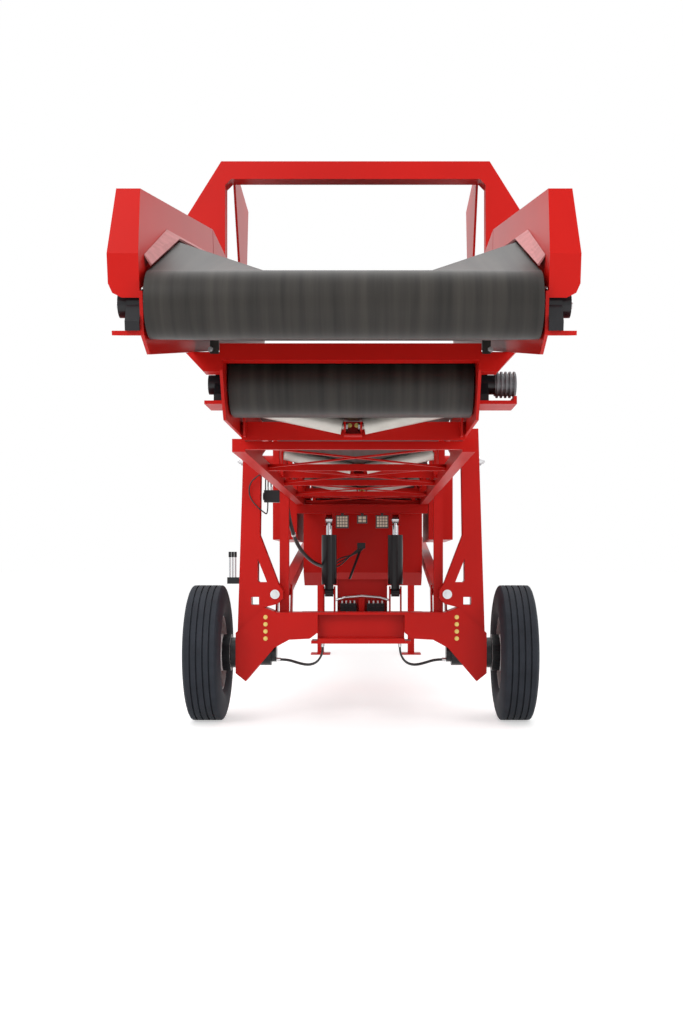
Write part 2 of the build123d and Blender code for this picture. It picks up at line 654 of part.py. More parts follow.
with BuildPart() as vee_frames:
    for y in VEE_STATIONS:
        block(-CHORD_IN, CHORD_IN, y + 46, y + 54, LOW - 22, LOW + 60)
        block(-40, 40, y - 30, y + 46, LOW - 10, LOW - 2)
        for sign, inner, outer in vee_ends(y):
            for x, z in ((VEE_IN - 12, inner[2]), (VEE_OUT + 12, outer[2])):
                slab([(y - 26, z - 14), (y - 26, z + 18), (y + 46, z + 18), (y + 46, LOW - 10),
                      (y - 10, LOW - 10)], sign * (x - 4), sign * (x + 4))
    for y in VEE_STATIONS:
        for sign, inner, outer in vee_ends(y):
            shaft_between(inner, outer, VEE_TIP + 4, ROLL_SHAFT + SEAT / 2, mode=Mode.SUBTRACT)
save(vee_frames, "vee_frames")

# Pivot bosses: side plates between the chords with a tube on each side
with BuildPart() as pivot_bosses:
    for sign in BOTH:
        slab([(-260, LOW), (260, LOW), (160, HIGH), (-160, HIGH)],
             sign * (CHORD_X + MEMBER / 2), sign * CHORD_OUT)
        bar(0, LUFF_Z, BOSS_RADIUS, sign * CHORD_OUT, sign * (PIVOT_INNER - RUN_GAP))
        bar(0, LUFF_Z, PIN_RADIUS + PIN_FIT, sign * (CHORD_OUT - 20), sign * PIVOT_INNER,
            mode=Mode.SUBTRACT)
save(pivot_bosses, "pivot_bosses")

# Cross plate under the truss with the cylinders' upper lugs
CROSS_PLATE_LOW = 1664.0
ROD_EYE = 20.0
EYE_PLAY = 20.0
LUG_IN = 30.0
with BuildPart() as cross_plate:
    under = BOTTOM_CHORD_Z - CHORD / 2
    block(-CHORD_OUT, CHORD_OUT, LIFT_Y - 60, LIFT_Y - 48, CROSS_PLATE_LOW, under)
    block(-CHORD_OUT, CHORD_OUT, LIFT_Y - 60, LIFT_Y + 60, CROSS_PLATE_LOW - 12, CROSS_PLATE_LOW)
    for sign in BOTH:
        block(sign * CHORD_IN, sign * CHORD_OUT, LIFT_Y - 48, LIFT_Y + 60, CROSS_PLATE_LOW, under)
        for cheek in BOTH:
            x = sign * LIFT_X + cheek * LUG_IN
            slab([(LIFT_Y - 55, CROSS_PLATE_LOW - 12), (LIFT_Y + 55, CROSS_PLATE_LOW - 12),
                  (LIFT_Y + 50, LIFT_EYE_Z - 20), (LIFT_Y + 25, LIFT_EYE_Z - 52),
                  (LIFT_Y - 25, LIFT_EYE_Z - 52), (LIFT_Y - 50, LIFT_EYE_Z - 20)], x, x + cheek * CHEEK)
            bar(LIFT_Y, LIFT_EYE_Z, ROD_EYE + EYE_PLAY, x - 30, x + 30, mode=Mode.SUBTRACT)
save(cross_plate, "cross_plate")

# Work lamps on the lower flange of the cross plate
LAMP_TABLE = [(-170, 110, 110), (0, 88, 70), (170, 110, 110)]  # x, width, height
with BuildPart() as work_lamps:
    for x, width, height in LAMP_TABLE:
        top = CROSS_PLATE_LOW - 12
        block(x - 12, x + 12, LIFT_Y - 50, LIFT_Y - 30, top - 30, top)
        block(x - width / 2, x + width / 2, LIFT_Y - 95, LIFT_Y - 50, top - 20 - height, top - 20)
save(work_lamps, "work_lamps")

# Lift cylinders
BARREL_TOP = 1466.0
with BuildPart() as lift_barrels:
    for sign in BOTH:
        x = sign * LIFT_X
        bar(LIFT_Y, LIFT_BASE_Z, 44, x - BASE_CHEEK_IN + RUN_GAP, x + BASE_CHEEK_IN - RUN_GAP)
        rod_between((x, LIFT_Y, LIFT_BASE_Z + 20), (x, LIFT_Y, BARREL_TOP), LIFT_BARREL)
        rod_between((x, LIFT_Y, LIFT_BASE_Z + 60), (x, LIFT_Y, BARREL_TOP), LIFT_ROD + PIN_FIT,
                    mode=Mode.SUBTRACT)
        for cheek in BOTH:
            x0 = x + cheek * (BASE_CHEEK_IN - RUN_GAP)
            block(x0, x0 + cheek * 40, LIFT_Y - 80, LIFT_Y + 80, LIFT_BASE_Z - 60, LIFT_BASE_Z + 62,
                  mode=Mode.SUBTRACT)
        bar(LIFT_Y, LIFT_BASE_Z, PIN_RADIUS + PIN_FIT, x - 80, x + 80, mode=Mode.SUBTRACT)
save(lift_barrels, "lift_barrels")

with BuildPart() as lift_rods:
    for sign in BOTH:
        x = sign * LIFT_X
        rod_between((x, LIFT_Y, LIFT_BASE_Z + 70), (x, LIFT_Y, LIFT_EYE_Z), LIFT_ROD)
        bar(LIFT_Y, LIFT_EYE_Z, 40, x - LUG_IN + RUN_GAP, x + LUG_IN - RUN_GAP)
        bar(LIFT_Y, LIFT_EYE_Z, ROD_EYE, x - LUG_IN - CHEEK, x + LUG_IN + CHEEK)
save(lift_rods, "lift_rods")

# Telescopic struts from the axle to the boom
STRUT_DY = STRUT_EYE[0] - STRUT_BASE[0]
STRUT_DZ = STRUT_EYE[1] - STRUT_BASE[1]
STRUT_LENGTH = (STRUT_DY**2 + STRUT_DZ**2) ** 0.5
STRUT_TILT = Vector(STRUT_DY, STRUT_DZ).get_angle(Vector(1, 0))
TUBE_LENGTH = 3300.0
STRUT_WALL = 8.0


def strut(x):
    """Side view along a strut from its foot pin."""
    return side(x, *STRUT_BASE, STRUT_TILT)


with BuildPart() as strut_tubes:
    for sign in BOTH:
        x0, x1 = sign * STRUT_X - STRUT_TUBE / 2, sign * STRUT_X + STRUT_TUBE / 2
        half = STRUT_TUBE / 2
        slab([(60, -half), (TUBE_LENGTH, -half), (TUBE_LENGTH, half), (60, half)], x0, x1, strut)
        core = half - STRUT_WALL
        slab([(100, -core), (TUBE_LENGTH, -core), (TUBE_LENGTH, core), (100, core)],
             x0 + STRUT_WALL, x1 - STRUT_WALL, strut, mode=Mode.SUBTRACT)
        slab([(0, -34), (80, -40), (80, 40), (0, 34)], x0, x1, strut)
        bar(0, 0, 34, x0, x1, strut)
        bar(0, 0, PIN_RADIUS + PIN_FIT, x0 - 5, x1 + 5, strut, mode=Mode.SUBTRACT)
save(strut_tubes, "strut_tubes")

ROD_START = 2500.0
with BuildPart() as strut_rods:
    for sign in BOTH:
        half = STRUT_ROD / 2
        x0, x1 = sign * STRUT_X - half, sign * STRUT_X + half
        rod_end = STRUT_LENGTH - 20
        slab([(ROD_START, -half), (rod_end, -half), (rod_end, half), (ROD_START, half)], x0, x1, strut)
        bar(STRUT_LENGTH, 0, 40, x0, x1, strut)
        bar(STRUT_LENGTH, 0, ROD_EYE, x0 - 20, x1 + 20, strut)
save(strut_rods, "strut_rods")

# Lugs on the chords for the struts' upper ends
STRUT_LUG_IN = STRUT_ROD / 2 + RUN_GAP
STRUT_LUG = STRUT_X - STRUT_LUG_IN - CHORD_OUT
eye_y, eye_z = STRUT_EYE
with BuildPart() as strut_lugs:
    for sign in BOTH:
        for cheek in BOTH:
            x = sign * STRUT_X + cheek * STRUT_LUG_IN
            slab([(eye_y - 70, eye_z + 120), (eye_y + 70, eye_z + 120), (eye_y + 55, eye_z - 30),
                  (eye_y + 25, eye_z - 58), (eye_y - 25, eye_z - 58), (eye_y - 55, eye_z - 30)],
                 x, x + cheek * STRUT_LUG)
            bar(*STRUT_EYE, ROD_EYE + EYE_PLAY, x - 30, x + 30, mode=Mode.SUBTRACT)
        reach = STRUT_X + STRUT_LUG_IN + STRUT_LUG
        block(sign * CHORD_OUT, sign * reach, eye_y - 70, eye_y + 70, eye_z + 72, eye_z + 84)
save(strut_lugs, "strut_lugs")

# Power pack hung under the truss, its engine inside, and a tank on each side
PACK_HALF = 540.0
PACK_START = 1500.0
PACK_END = 3200.0
PACK_LOW = 1020.0
PACK_HIGH = 1690.0
PACK_SKIN = 6.0
LOUVRES = 7
LOUVRE = 16.0
LOUVRE_PITCH = 42.0
LOUVRE_RISE = 260.0
with BuildPart() as power_pack:
    slab([(PACK_START, PACK_LOW + 120), (PACK_START + 160, PACK_LOW), (PACK_END - 160, PACK_LOW),
          (PACK_END, PACK_LOW + 120), (PACK_END, PACK_HIGH), (PACK_START, PACK_HIGH)],
         -PACK_HALF, PACK_HALF)
    inner = PACK_HALF - PACK_SKIN
    slab([(PACK_START + PACK_SKIN, PACK_LOW + 124), (PACK_START + 164, PACK_LOW + PACK_SKIN),
          (PACK_END - 164, PACK_LOW + PACK_SKIN), (PACK_END - PACK_SKIN, PACK_LOW + 124),
          (PACK_END - PACK_SKIN, PACK_HIGH - PACK_SKIN), (PACK_START + PACK_SKIN, PACK_HIGH - PACK_SKIN)],
         -inner, inner, mode=Mode.SUBTRACT)
    for sign in BOTH:
        for y in (PACK_START + 80, PACK_END - 80):
            block(sign * CHORD_IN, sign * PACK_HALF, y - 60, y + 60, PACK_HIGH, BOTTOM_CHORD_Z - CHORD / 2)
    for sign in BOTH:
        for row in range(LOUVRES):
            z = PACK_LOW + LOUVRE_RISE + row * LOUVRE_PITCH
            block(sign * (PACK_HALF - 2 * PACK_SKIN), sign * (PACK_HALF + PACK_SKIN),
                  PACK_END - 620, PACK_END - 200, z, z + LOUVRE, mode=Mode.SUBTRACT)
save(power_pack, "power_pack")

with BuildPart() as engine:
    block(-300, 300, PACK_START + 350, PACK_END - 450, PACK_LOW + PACK_SKIN, PACK_LOW + 520)
save(engine, "engine")

TANK_IN = 600.0
TANK_OUT = 820.0
TANK_LOW = 1440.0
TANK_HIGH = 2100.0
TANK_END = 2700.0
TANK_SKIN = 6.0
TANK_BRACKET_DROP = 30.0
with BuildPart() as side_tanks:
    for sign in BOTH:
        block(sign * TANK_IN, sign * TANK_OUT, PACK_START, TANK_END, TANK_LOW, TANK_HIGH)
        block(sign * (TANK_IN + TANK_SKIN), sign * (TANK_OUT - TANK_SKIN), PACK_START + TANK_SKIN,
              TANK_END - TANK_SKIN, TANK_LOW + TANK_SKIN, TANK_HIGH - TANK_SKIN, mode=Mode.SUBTRACT)
        for z in (BOTTOM_CHORD_Z, TANK_HIGH - TANK_BRACKET_DROP):
            for y in (PACK_START + 150, TANK_END - 150):
                block(sign * CHORD_OUT, sign * TANK_IN, y - 40, y + 40, z - 25, z + 25)
    with Locations((-(TANK_IN + TANK_OUT) / 2, AXLE_Y + PACK_START + 250, TANK_HIGH + 30)):
        Cylinder(48, 60)
save(side_tanks, "side_tanks")

# Feeder: tilted side plates with cross tubes
FEED_HALF = FEED_BELT / 2
FEED_OUT = FEED_SIDE_X + FEED_SIDE
FEED_LOW = -150.0
FEED_HIGH = 110.0
FEED_PROFILE = [(-70, -90), (20, FEED_LOW), (FEED_LENGTH - 20, FEED_LOW), (FEED_LENGTH + 90, -80),
                (FEED_LENGTH + 90, 60), (FEED_LENGTH + 30, FEED_HIGH), (180, FEED_HIGH), (60, 40),
                (-70, 40)]
FEED_TUBE = 34.0
with BuildPart() as feeder_frame:
    for sign in BOTH:
        slab(FEED_PROFILE, sign * FEED_SIDE_X, sign * FEED_OUT, feed)
        for along in (0, FEED_LENGTH):
            bar(along, 0, SHAFT_RADIUS + SHAFT_ROOM, sign * (FEED_SIDE_X - 5), sign * (FEED_OUT + 5), feed,
                mode=Mode.SUBTRACT)
    for along in (400, 1220, 1900, 2470, 3440):
        bar(along, -48, FEED_TUBE, -FEED_SIDE_X, FEED_SIDE_X, feed)
save(feeder_frame, "feeder_frame")

FEED_FLAT = 210.0
FEED_IN = 450.0
FEED_OFF = 3380.0
with BuildPart() as feeder_belt:
    belt_run([(0, FEED_RADIUS, 0), (FEED_IN, FEED_RADIUS, FEED_TROUGH),
              (FEED_OFF, FEED_RADIUS, FEED_TROUGH), (FEED_LENGTH, FEED_RADIUS, 0)],
             FEED_HALF, FEED_FLAT, FEED_TILT, FEED_Y, FEED_Z)
    slab([(0, -FEED_RADIUS - BELT), (FEED_LENGTH, -FEED_RADIUS - BELT), (FEED_LENGTH, -FEED_RADIUS),
          (0, -FEED_RADIUS)], -FEED_HALF, FEED_HALF, feed)
    belt_wrap(0, 0, FEED_RADIUS, FEED_HALF, -1, feed)
    belt_wrap(FEED_LENGTH, 0, FEED_RADIUS, FEED_HALF, 1, feed)
save(feeder_belt, "feeder_belt")

with BuildPart() as feeder_drums:
    for along in (0, FEED_LENGTH):
        drum(along, 0, FEED_RADIUS - DRUM_SLACK, FEED_HALF, FEED_OUT + 45, feed)
save(feeder_drums, "feeder_drums")

with BuildPart() as feeder_bearings:
    for sign in BOTH:
        for along in (0, FEED_LENGTH):
            bearing(along, 0, FEED_OUT, sign, feed)
save(feeder_bearings, "feeder_bearings")

FEED_PITCH = 560.0
FEED_STATIONS = [FEED_IN + PAST + count * FEED_PITCH for count in range(6)]
FEED_IDLER = Idler(FEED_STATIONS, FEED_Y, FEED_Z, FEED_TILT, FEED_RADIUS, FEED_FLAT, FEED_HALF, FEED_TROUGH,
                   FEED_SIDE_X, 116)
with BuildPart() as feeder_rolls:
    add_rolls(FEED_IDLER)
save(feeder_rolls, "feeder_rolls")
with BuildPart() as feeder_idler_frames:
    add_frames(FEED_IDLER, feed)
save(feeder_idler_frames, "feeder_idler_frames")

# Hopper wings at the feed end, each a plate with a cranked front flange
WING_TOP = 345.0
WING_END = 1630.0
WING_CRESCENT = 56.0
WING_REACH = 140.0
WING_FRONT = [(-60, 20), (-60, 150), (10, WING_TOP)]
WING = WING_FRONT + [(WING_END, WING_TOP + 30), (WING_END, FEED_HIGH - 60), (220, FEED_HIGH - 60),
                     (130, 20)]
with BuildPart() as hopper_wings:
    for sign in BOTH:
        x0 = sign * FEED_OUT
        slab(WING, x0, sign * (FEED_OUT + WING_PLATE), feed)
        strip = WING_FRONT + [(along + WING_PLATE, up) for along, up in reversed(WING_FRONT)]
        slab(strip, x0, sign * (FEED_OUT + WING_FLANGE), feed)
        tip = FEED_OUT + WING_FLANGE
        with BuildSketch(feed_front(WING_REACH)) as trim:
            Polygon((sign * tip, 150), (sign * tip, 400), (sign * (tip - 34), 400),
                    (sign * (tip - 22), WING_TOP), align=None)
            Polygon((sign * tip, 0), (sign * tip, 62), (sign * (tip - 12), 34), (sign * (tip - 40), 20),
                    (sign * (tip - 40), 0), align=None)
        extrude(trim.sketch, amount=2 * WING_REACH, mode=Mode.SUBTRACT)
        slab([(WING_END - 8, 60), (WING_END, 60), (WING_END, WING_TOP + 30), (WING_END - 8, WING_TOP + 30)],
             x0, sign * (FEED_OUT + 50), feed)
        bar(0, 0, WING_CRESCENT, x0, sign * (FEED_OUT + WING_FLANGE), feed, mode=Mode.SUBTRACT)
save(hopper_wings, "hopper_wings")

REAR_END = 2240.0
with BuildPart() as hopper_sides:
    for sign in BOTH:
        x0 = sign * FEED_OUT
        slab([(WING_END + 12, 60), (REAR_END, 60), (REAR_END, 260), (WING_END + 12, WING_TOP + 30)],
             x0, sign * (FEED_OUT + WING_PLATE), feed)
        slab([(WING_END + 12, 60), (WING_END + 20, 60), (WING_END + 20, WING_TOP + 30),
              (WING_END + 12, WING_TOP + 30)], x0, sign * (FEED_OUT + 50), feed)
save(hopper_sides, "hopper_sides")

# Arch over the feeder, with a tapered stay behind each leg
ARCH_INNER = 660.0
ARCH_LEG = [(FEED_OUT, 2440), (FEED_OUT, 2580), (ARCH_INNER, 2640), (ARCH_INNER, ARCH_TOP - 120),
            (ARCH_INNER - 30, ARCH_TOP - 90), (0, ARCH_TOP - 90), (0, ARCH_TOP), (680, ARCH_TOP),
            (880, 2930), (880, 2700), (720, 2440)]
with BuildPart() as arch:
    for sign in BOTH:
        panel(mirrored(ARCH_LEG, sign), ARCH_Y - ARCH_DEPTH / 2, ARCH_Y + ARCH_DEPTH / 2)
    for sign in BOTH:
        rear = ARCH_Y + ARCH_DEPTH / 2
        slab([(rear, ARCH_TOP), (rear + 620, ARCH_TOP - 40), (rear + 480, 2560), (rear + 360, 2560),
              (rear, ARCH_TOP - 90)], sign * FEED_OUT, sign * (FEED_OUT + PLATE))
save(arch, "arch")

# Bolster ends beside the tail frame, and the stand under the feeder's head
BOLSTER = [(TAIL_PLATE_OUT, 1960), (575, 1960), (690, 2083), (690, 2160), (TAIL_PLATE_OUT, 2160)]
STAND_Y = -2300.0
STAND = 60.0
STAND_BEAM = 2400.0
with BuildPart() as feeder_stand:
    for sign in BOTH:
        panel(mirrored(BOLSTER, sign), CROSS_Y, CROSS_Y + CROSS_DEPTH)
        block(sign * (CHORD_X - 25), sign * (CHORD_X + 25), STAND_Y - STAND / 2, STAND_Y + STAND / 2,
              TOP_CHORD_Z + CHORD / 2, STAND_BEAM)
        block(sign * 590, sign * 640, STAND_Y - STAND / 2, STAND_Y + STAND / 2, STAND_BEAM, 2540)
    block(-640, 640, STAND_Y - STAND / 2, STAND_Y + STAND / 2, STAND_BEAM, STAND_BEAM + 60)
    for sign in BOTH:
        slab(FEED_PROFILE, sign * FEED_SIDE_X, sign * FEED_OUT, feed, mode=Mode.SUBTRACT)
    slab([(-200, FEED_LOW), (FEED_LENGTH + 200, FEED_LOW), (FEED_LENGTH + 200, 200), (-200, 200)],
         -FEED_SIDE_X, FEED_SIDE_X, feed, mode=Mode.SUBTRACT)
save(feeder_stand, "feeder_stand")

# Loading skirts over the stacking belt, below the feeder's head
SKIRT_X = 400.0
SKIRT_START = -1950.0
SKIRT_END = -500.0
SKIRT_LOW = 2330.0
SKIRT_HIGH = 2500.0
SKIRT_ARM = 40.0
with BuildPart() as loading_skirts:
    half = SKIRT_ARM / 2
    elbow = SKIRT_HIGH - 80
    for sign in BOTH:
        block(sign * SKIRT_X, sign * (SKIRT_X + 6), SKIRT_START, SKIRT_END, SKIRT_LOW, SKIRT_HIGH)
        for y in (SKIRT_START + 200, SKIRT_END - 200):
            block(sign * (SKIRT_X + 6), sign * (CHORD_X + half), y - half, y + half,
                  elbow, elbow + SKIRT_ARM)
            block(sign * (CHORD_X - half), sign * (CHORD_X + half), y - half, y + half,
                  TOP_CHORD_Z + CHORD / 2, elbow)
save(loading_skirts, "loading_skirts")

# Landing legs in sleeves on the truss
SLEEVE = LANDING_TUBE + 2 * SLEEVE_WALL + 2
SLEEVE_X = CHORD_OUT + SLEEVE / 2
with BuildPart() as leg_sleeves:
    for sign in BOTH:
        block(sign * CHORD_OUT, sign * (CHORD_OUT + SLEEVE), LEG_Y - SLEEVE / 2, LEG_Y + SLEEVE / 2, 1640,
              TOP_CHORD_Z + CHORD / 2)
        hole = LANDING_TUBE / 2 + SEAT
        block(sign * (SLEEVE_X - hole), sign * (SLEEVE_X + hole), LEG_Y - hole, LEG_Y + hole, 1600, 2300,
              mode=Mode.SUBTRACT)
save(leg_sleeves, "leg_sleeves")

with BuildPart() as landing_legs:
    for sign in BOTH:
        half = LANDING_TUBE / 2
        block(sign * (SLEEVE_X - half), sign * (SLEEVE_X + half), LEG_Y - half, LEG_Y + half,
              FOOT_PLATE, TOP_CHORD_Z + 60)
        core = half - TUBE_WALL
        block(sign * (SLEEVE_X - core), sign * (SLEEVE_X + core), LEG_Y - core, LEG_Y + core, FOOT_PLATE,
              TOP_CHORD_Z + 50, mode=Mode.SUBTRACT)
        sole = FOOT / 2
        block(sign * (SLEEVE_X - sole), sign * (SLEEVE_X + sole), LEG_Y - sole, LEG_Y + sole, 0, FOOT_PLATE)
save(landing_legs, "landing_legs")

# Tow frame: two converging arms with an eye
TOW_Z = BOTTOM_CHORD_Z
with BuildPart() as tow_frame:
    low = TOW_Z - CHORD / 2
    with BuildSketch(Plane.XY.offset(low)):
        near, far = AXLE_Y + TRUSS_END, AXLE_Y + TOW_REACH
        for sign in BOTH:
            Polygon((sign * CHORD_IN, near), (sign * CHORD_OUT, near), (sign * 70, far - 90),
                    (sign * 10, far - 90), align=None)
        with Locations((0, far - 70)):
            Rectangle(140, 90)
    extrude(amount=CHORD)
    with BuildSketch(Plane.XY.offset(TOW_Z - 20)):
        with Locations((0, AXLE_Y + TOW_REACH)):
            Circle(TOW_EYE_RADIUS)
        with Locations((0, AXLE_Y + TOW_REACH - 30)):
            Rectangle(90, 60)
    extrude(amount=40)
    with BuildSketch(Plane.XY.offset(TOW_Z - 60)):
        with Locations((0, AXLE_Y + TOW_REACH)):
            Circle(TOW_BORE)
    extrude(amount=120, mode=Mode.SUBTRACT)
save(tow_frame, "tow_frame")

# Hydraulic hoses from the beam's under plate to the wheel motors
HOSE_RADIUS = 8.0
HOSE_STATIONS = [("front", -30.0), ("rear", 25.0)]  # name, station
HOSE_ROUTE = [(300, 600), (300, 546), (314, 491), (350, 446), (402, 428), (455, 433), (508, 448), (560, 464),
              (612, 470), (660, 470)]  # distance from the middle, height


def bend_radii(points):
    """Radius of each bend, from the shorter run beside it and half the turn."""
    radii = []
    for before, here, after in zip(points, points[1:], points[2:]):
        run_in, run_out = Vector(*here) - Vector(*before), Vector(*after) - Vector(*here)
        half_turn = radians(run_in.get_angle(run_out)) / 2
        radii.append(0.45 * min(run_in.length, run_out.length) / tan(half_turn))
    return radii


for side_name, sign in (("left", -1), ("right", 1)):
    for place, station in HOSE_STATIONS:
        route = [(sign * x, AXLE_Y + station, z) for x, z in HOSE_ROUTE]
        with BuildPart() as hose:
            with BuildLine() as path:
                FilletPolyline(*route, radius=bend_radii(route))
            with BuildSketch(Plane(origin=path.line @ 0, z_dir=path.line % 0)):
                Circle(HOSE_RADIUS)
            sweep()
        save(hose, f"hose_{side_name}_{place}")
print("hose bend radii", [round(radius, 1) for radius in bend_radii([(x, 0, z) for x, z in HOSE_ROUTE])])
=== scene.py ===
import json
import math

import bpy
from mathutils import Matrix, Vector


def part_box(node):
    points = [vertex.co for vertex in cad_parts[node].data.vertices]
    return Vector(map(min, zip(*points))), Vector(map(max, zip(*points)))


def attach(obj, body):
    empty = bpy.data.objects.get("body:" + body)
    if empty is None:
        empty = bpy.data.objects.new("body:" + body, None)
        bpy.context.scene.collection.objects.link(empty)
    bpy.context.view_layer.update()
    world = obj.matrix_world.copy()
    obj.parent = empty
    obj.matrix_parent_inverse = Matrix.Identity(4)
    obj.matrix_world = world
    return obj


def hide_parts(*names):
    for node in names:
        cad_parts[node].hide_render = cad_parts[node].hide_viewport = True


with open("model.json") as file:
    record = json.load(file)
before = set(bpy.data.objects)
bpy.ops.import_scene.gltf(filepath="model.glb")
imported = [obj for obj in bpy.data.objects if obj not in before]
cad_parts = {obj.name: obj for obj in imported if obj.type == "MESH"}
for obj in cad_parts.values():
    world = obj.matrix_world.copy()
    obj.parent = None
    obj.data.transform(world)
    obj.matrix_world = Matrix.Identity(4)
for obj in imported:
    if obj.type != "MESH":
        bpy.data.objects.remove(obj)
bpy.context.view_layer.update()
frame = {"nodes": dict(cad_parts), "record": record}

# Driving places, in metres
low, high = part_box("tyre_left")
AXLE_Y = (low.y + high.y) / 2
WHEEL_X = 1.190
WHEEL_Z = 0.525
FEED_Y = AXLE_Y - 5.455
FEED_Z = 2.003
FEED_LENGTH = 3.9
FEED_TILT = math.radians(11)
SIDES = {-1: "left", 1: "right"}
UP = Vector((0, 0, 1))
NEAR = Vector((0, -1, 0))
DOWN_FEEDER = Vector((0, -math.cos(FEED_TILT), -math.sin(FEED_TILT)))

# Materials
COAT_ROUGHNESS = 0.08
NOISE_DETAIL = 6
MOTTLE_RANGE = (0.32, 0.72)
BUMP_DEPTH = 0.002


def material(name, colour, rough, metal=0.0, coat=0.0, gloss=0.5, mottle=0.0, scale=6.0, stretch=(1, 1, 1),
             bump=0.0):
    """A finish of one colour, with an optional mottle and bump from one noise."""
    mat = bpy.data.materials.new(name)
    mat.use_nodes = True
    nodes, links = mat.node_tree.nodes, mat.node_tree.links
    shader = nodes["Principled BSDF"]
    shader.inputs["Base Color"].default_value = (*colour, 1)
    shader.inputs["Roughness"].default_value = rough
    shader.inputs["Metallic"].default_value = metal
    shader.inputs["Specular IOR Level"].default_value = gloss
    shader.inputs["Coat Weight"].default_value = coat
    shader.inputs["Coat Roughness"].default_value = COAT_ROUGHNESS
    if mottle or bump:
        place = nodes.new("ShaderNodeTexCoord")
        squeeze = nodes.new("ShaderNodeMapping")
        squeeze.inputs["Scale"].default_value = stretch
        noise = nodes.new("ShaderNodeTexNoise")
        noise.inputs["Scale"].default_value = scale
        noise.inputs["Detail"].default_value = NOISE_DETAIL
        links.new(place.outputs["Object"], squeeze.inputs["Vector"])
        links.new(squeeze.outputs["Vector"], noise.inputs["Vector"])
    if mottle:
        ramp = nodes.new("ShaderNodeValToRGB")
        for stop, where, change in zip(ramp.color_ramp.elements, MOTTLE_RANGE, (-mottle, mottle)):
            stop.position = where
            stop.color = (*[min(1, part * (1 + change)) for part in colour], 1)
        links.new(noise.outputs["Fac"], ramp.inputs["Fac"])
        links.new(ramp.outputs["Color"], shader.inputs["Base Color"])
    if bump:
        height = nodes.new("ShaderNodeBump")
        height.inputs["Strength"].default_value = bump
        height.inputs["Distance"].default_value = BUMP_DEPTH
        links.new(noise.outputs["Fac"], height.inputs["Height"])
        links.new(height.outputs["Normal"], shader.inputs["Normal"])
    return mat


LOOKS = {
    "red_paint": material("red_paint", (0.52, 0.007, 0.004), 0.36, coat=0.04, gloss=0.16, mottle=0.06,
                          scale=2.0),
    "belt_rubber": material("belt_rubber", (0.024, 0.021, 0.018), 0.48, gloss=0.28, mottle=0.55, scale=9.0,
                            stretch=(3, 0.12, 0.12), bump=0.12),
    "tyre": material("tyre", (0.024, 0.028, 0.036), 0.72, gloss=0.2, mottle=0.18, scale=9.0, bump=0.2),
    "roll_steel": material("roll_steel", (0.62, 0.59, 0.54), 0.42, metal=0.25, mottle=0.10, scale=14.0),
    "drum_steel": material("drum_steel", (0.32, 0.32, 0.33), 0.40, metal=0.8),
    "black_paint": material("black_paint", (0.010, 0.010, 0.012), 0.30, coat=0.1, gloss=0.25),
    "chrome": material("chrome", (0.52, 0.53, 0.55), 0.14, metal=1.0),
    "zinc": material("zinc", (0.66, 0.67, 0.68), 0.30, metal=0.9),
    "grey_paint": material("grey_paint", (0.16, 0.17, 0.18), 0.45, metal=0.2),
    "lamp": material("lamp", (0.06, 0.06, 0.06), 0.45),
    "hose_rubber": material("hose_rubber", (0.012, 0.012, 0.013), 0.42),
    "engine_alloy": material("engine_alloy", (0.4, 0.4, 0.42), 0.5, metal=0.6),
}
YELLOW = material("yellow_zinc", (0.70, 0.52, 0.16), 0.34, metal=0.8)
LED = material("lamp_led", (0.80, 0.74, 0.58), 0.25, coat=0.4)
# The skirts' pale pink is partly rubber and partly a painted highlight, the light along the feeder belt's
# edge given to the strips as colour
SKIRT_RUBBER_AND_HIGHLIGHT = material("skirt_rubber", (0.52, 0.22, 0.22), 0.75, mottle=0.12, scale=30.0)
SILVER = material("silver_paint", (0.52, 0.50, 0.50), 0.42, metal=0.3, mottle=0.08, scale=12.0)

# The CAD pieces take the look of their slot, and painted ones a soft edge, apart from the thin lattice
SLOT_OF = {entry["node"]: entry["material_slot"] for entry in frame["record"]["subparts"]}
THIN_LATTICE = ("truss_floor", "truss_sides", "truss_chords")
SOFT_EDGE = 0.003
SOFT_ANGLE = math.radians(40)
for name, obj in frame["nodes"].items():
    obj.data.materials.clear()
    obj.data.materials.append(LOOKS[SLOT_OF[name]])
    for face in obj.data.polygons:
        face.material_index = 0
    if SLOT_OF[name] == "red_paint" and name not in THIN_LATTICE:
        soft = obj.modifiers.new("soft_edges", "BEVEL")
        soft.width = SOFT_EDGE
        soft.segments = 2
        soft.limit_method = "ANGLE"
        soft.angle_limit = SOFT_ANGLE


# Small pieces are gathered into one mesh for each body and finish
class Batch:
    def __init__(self):
        self.points = []
        self.faces = []

    def add(self, points, faces):
        base = len(self.points)
        self.points += [tuple(point) for point in points]
        self.faces += [tuple(base + i for i in face) for face in faces]


BATCHES = {}
BOX_FACES = [(3, 2, 1, 0), (4, 5, 6, 7), (0, 1, 5, 4), (1, 2, 6, 5), (2, 3, 7, 6), (3, 0, 4, 7)]
# Washer, hexagon head and thread end of a bolt: radius and height as shares of its size, and sides
BOLT_STACK = ((1.05, 0.16, 20), (0.86, 0.62, 6), (0.48, 0.35, 12))


def batch(body, look):
    """The small pieces of one body and finish."""
    return BATCHES.setdefault((body, look), Batch())


def flipped(faces):
    """The same faces turned to the other side, for a mirrored piece."""
    return [face[::-1] for face in faces]


def prism(body, look, centre, axis, radius, length, sides=6):
    """A prism that starts at centre and runs along axis."""
    turn = Vector(axis).to_track_quat("Z", "X").to_matrix()
    rings = []
    for height in (0, length):
        for count in range(sides):
            angle = 2 * math.pi * count / sides
            corner = Vector((radius * math.cos(angle), radius * math.sin(angle), height))
            rings.append(Vector(centre) + turn @ corner)
    faces = [tuple(range(sides))[::-1], tuple(range(sides, 2 * sides))]
    faces += [(i, (i + 1) % sides, sides + (i + 1) % sides, sides + i) for i in range(sides)]
    batch(body, look).add(rings, faces)


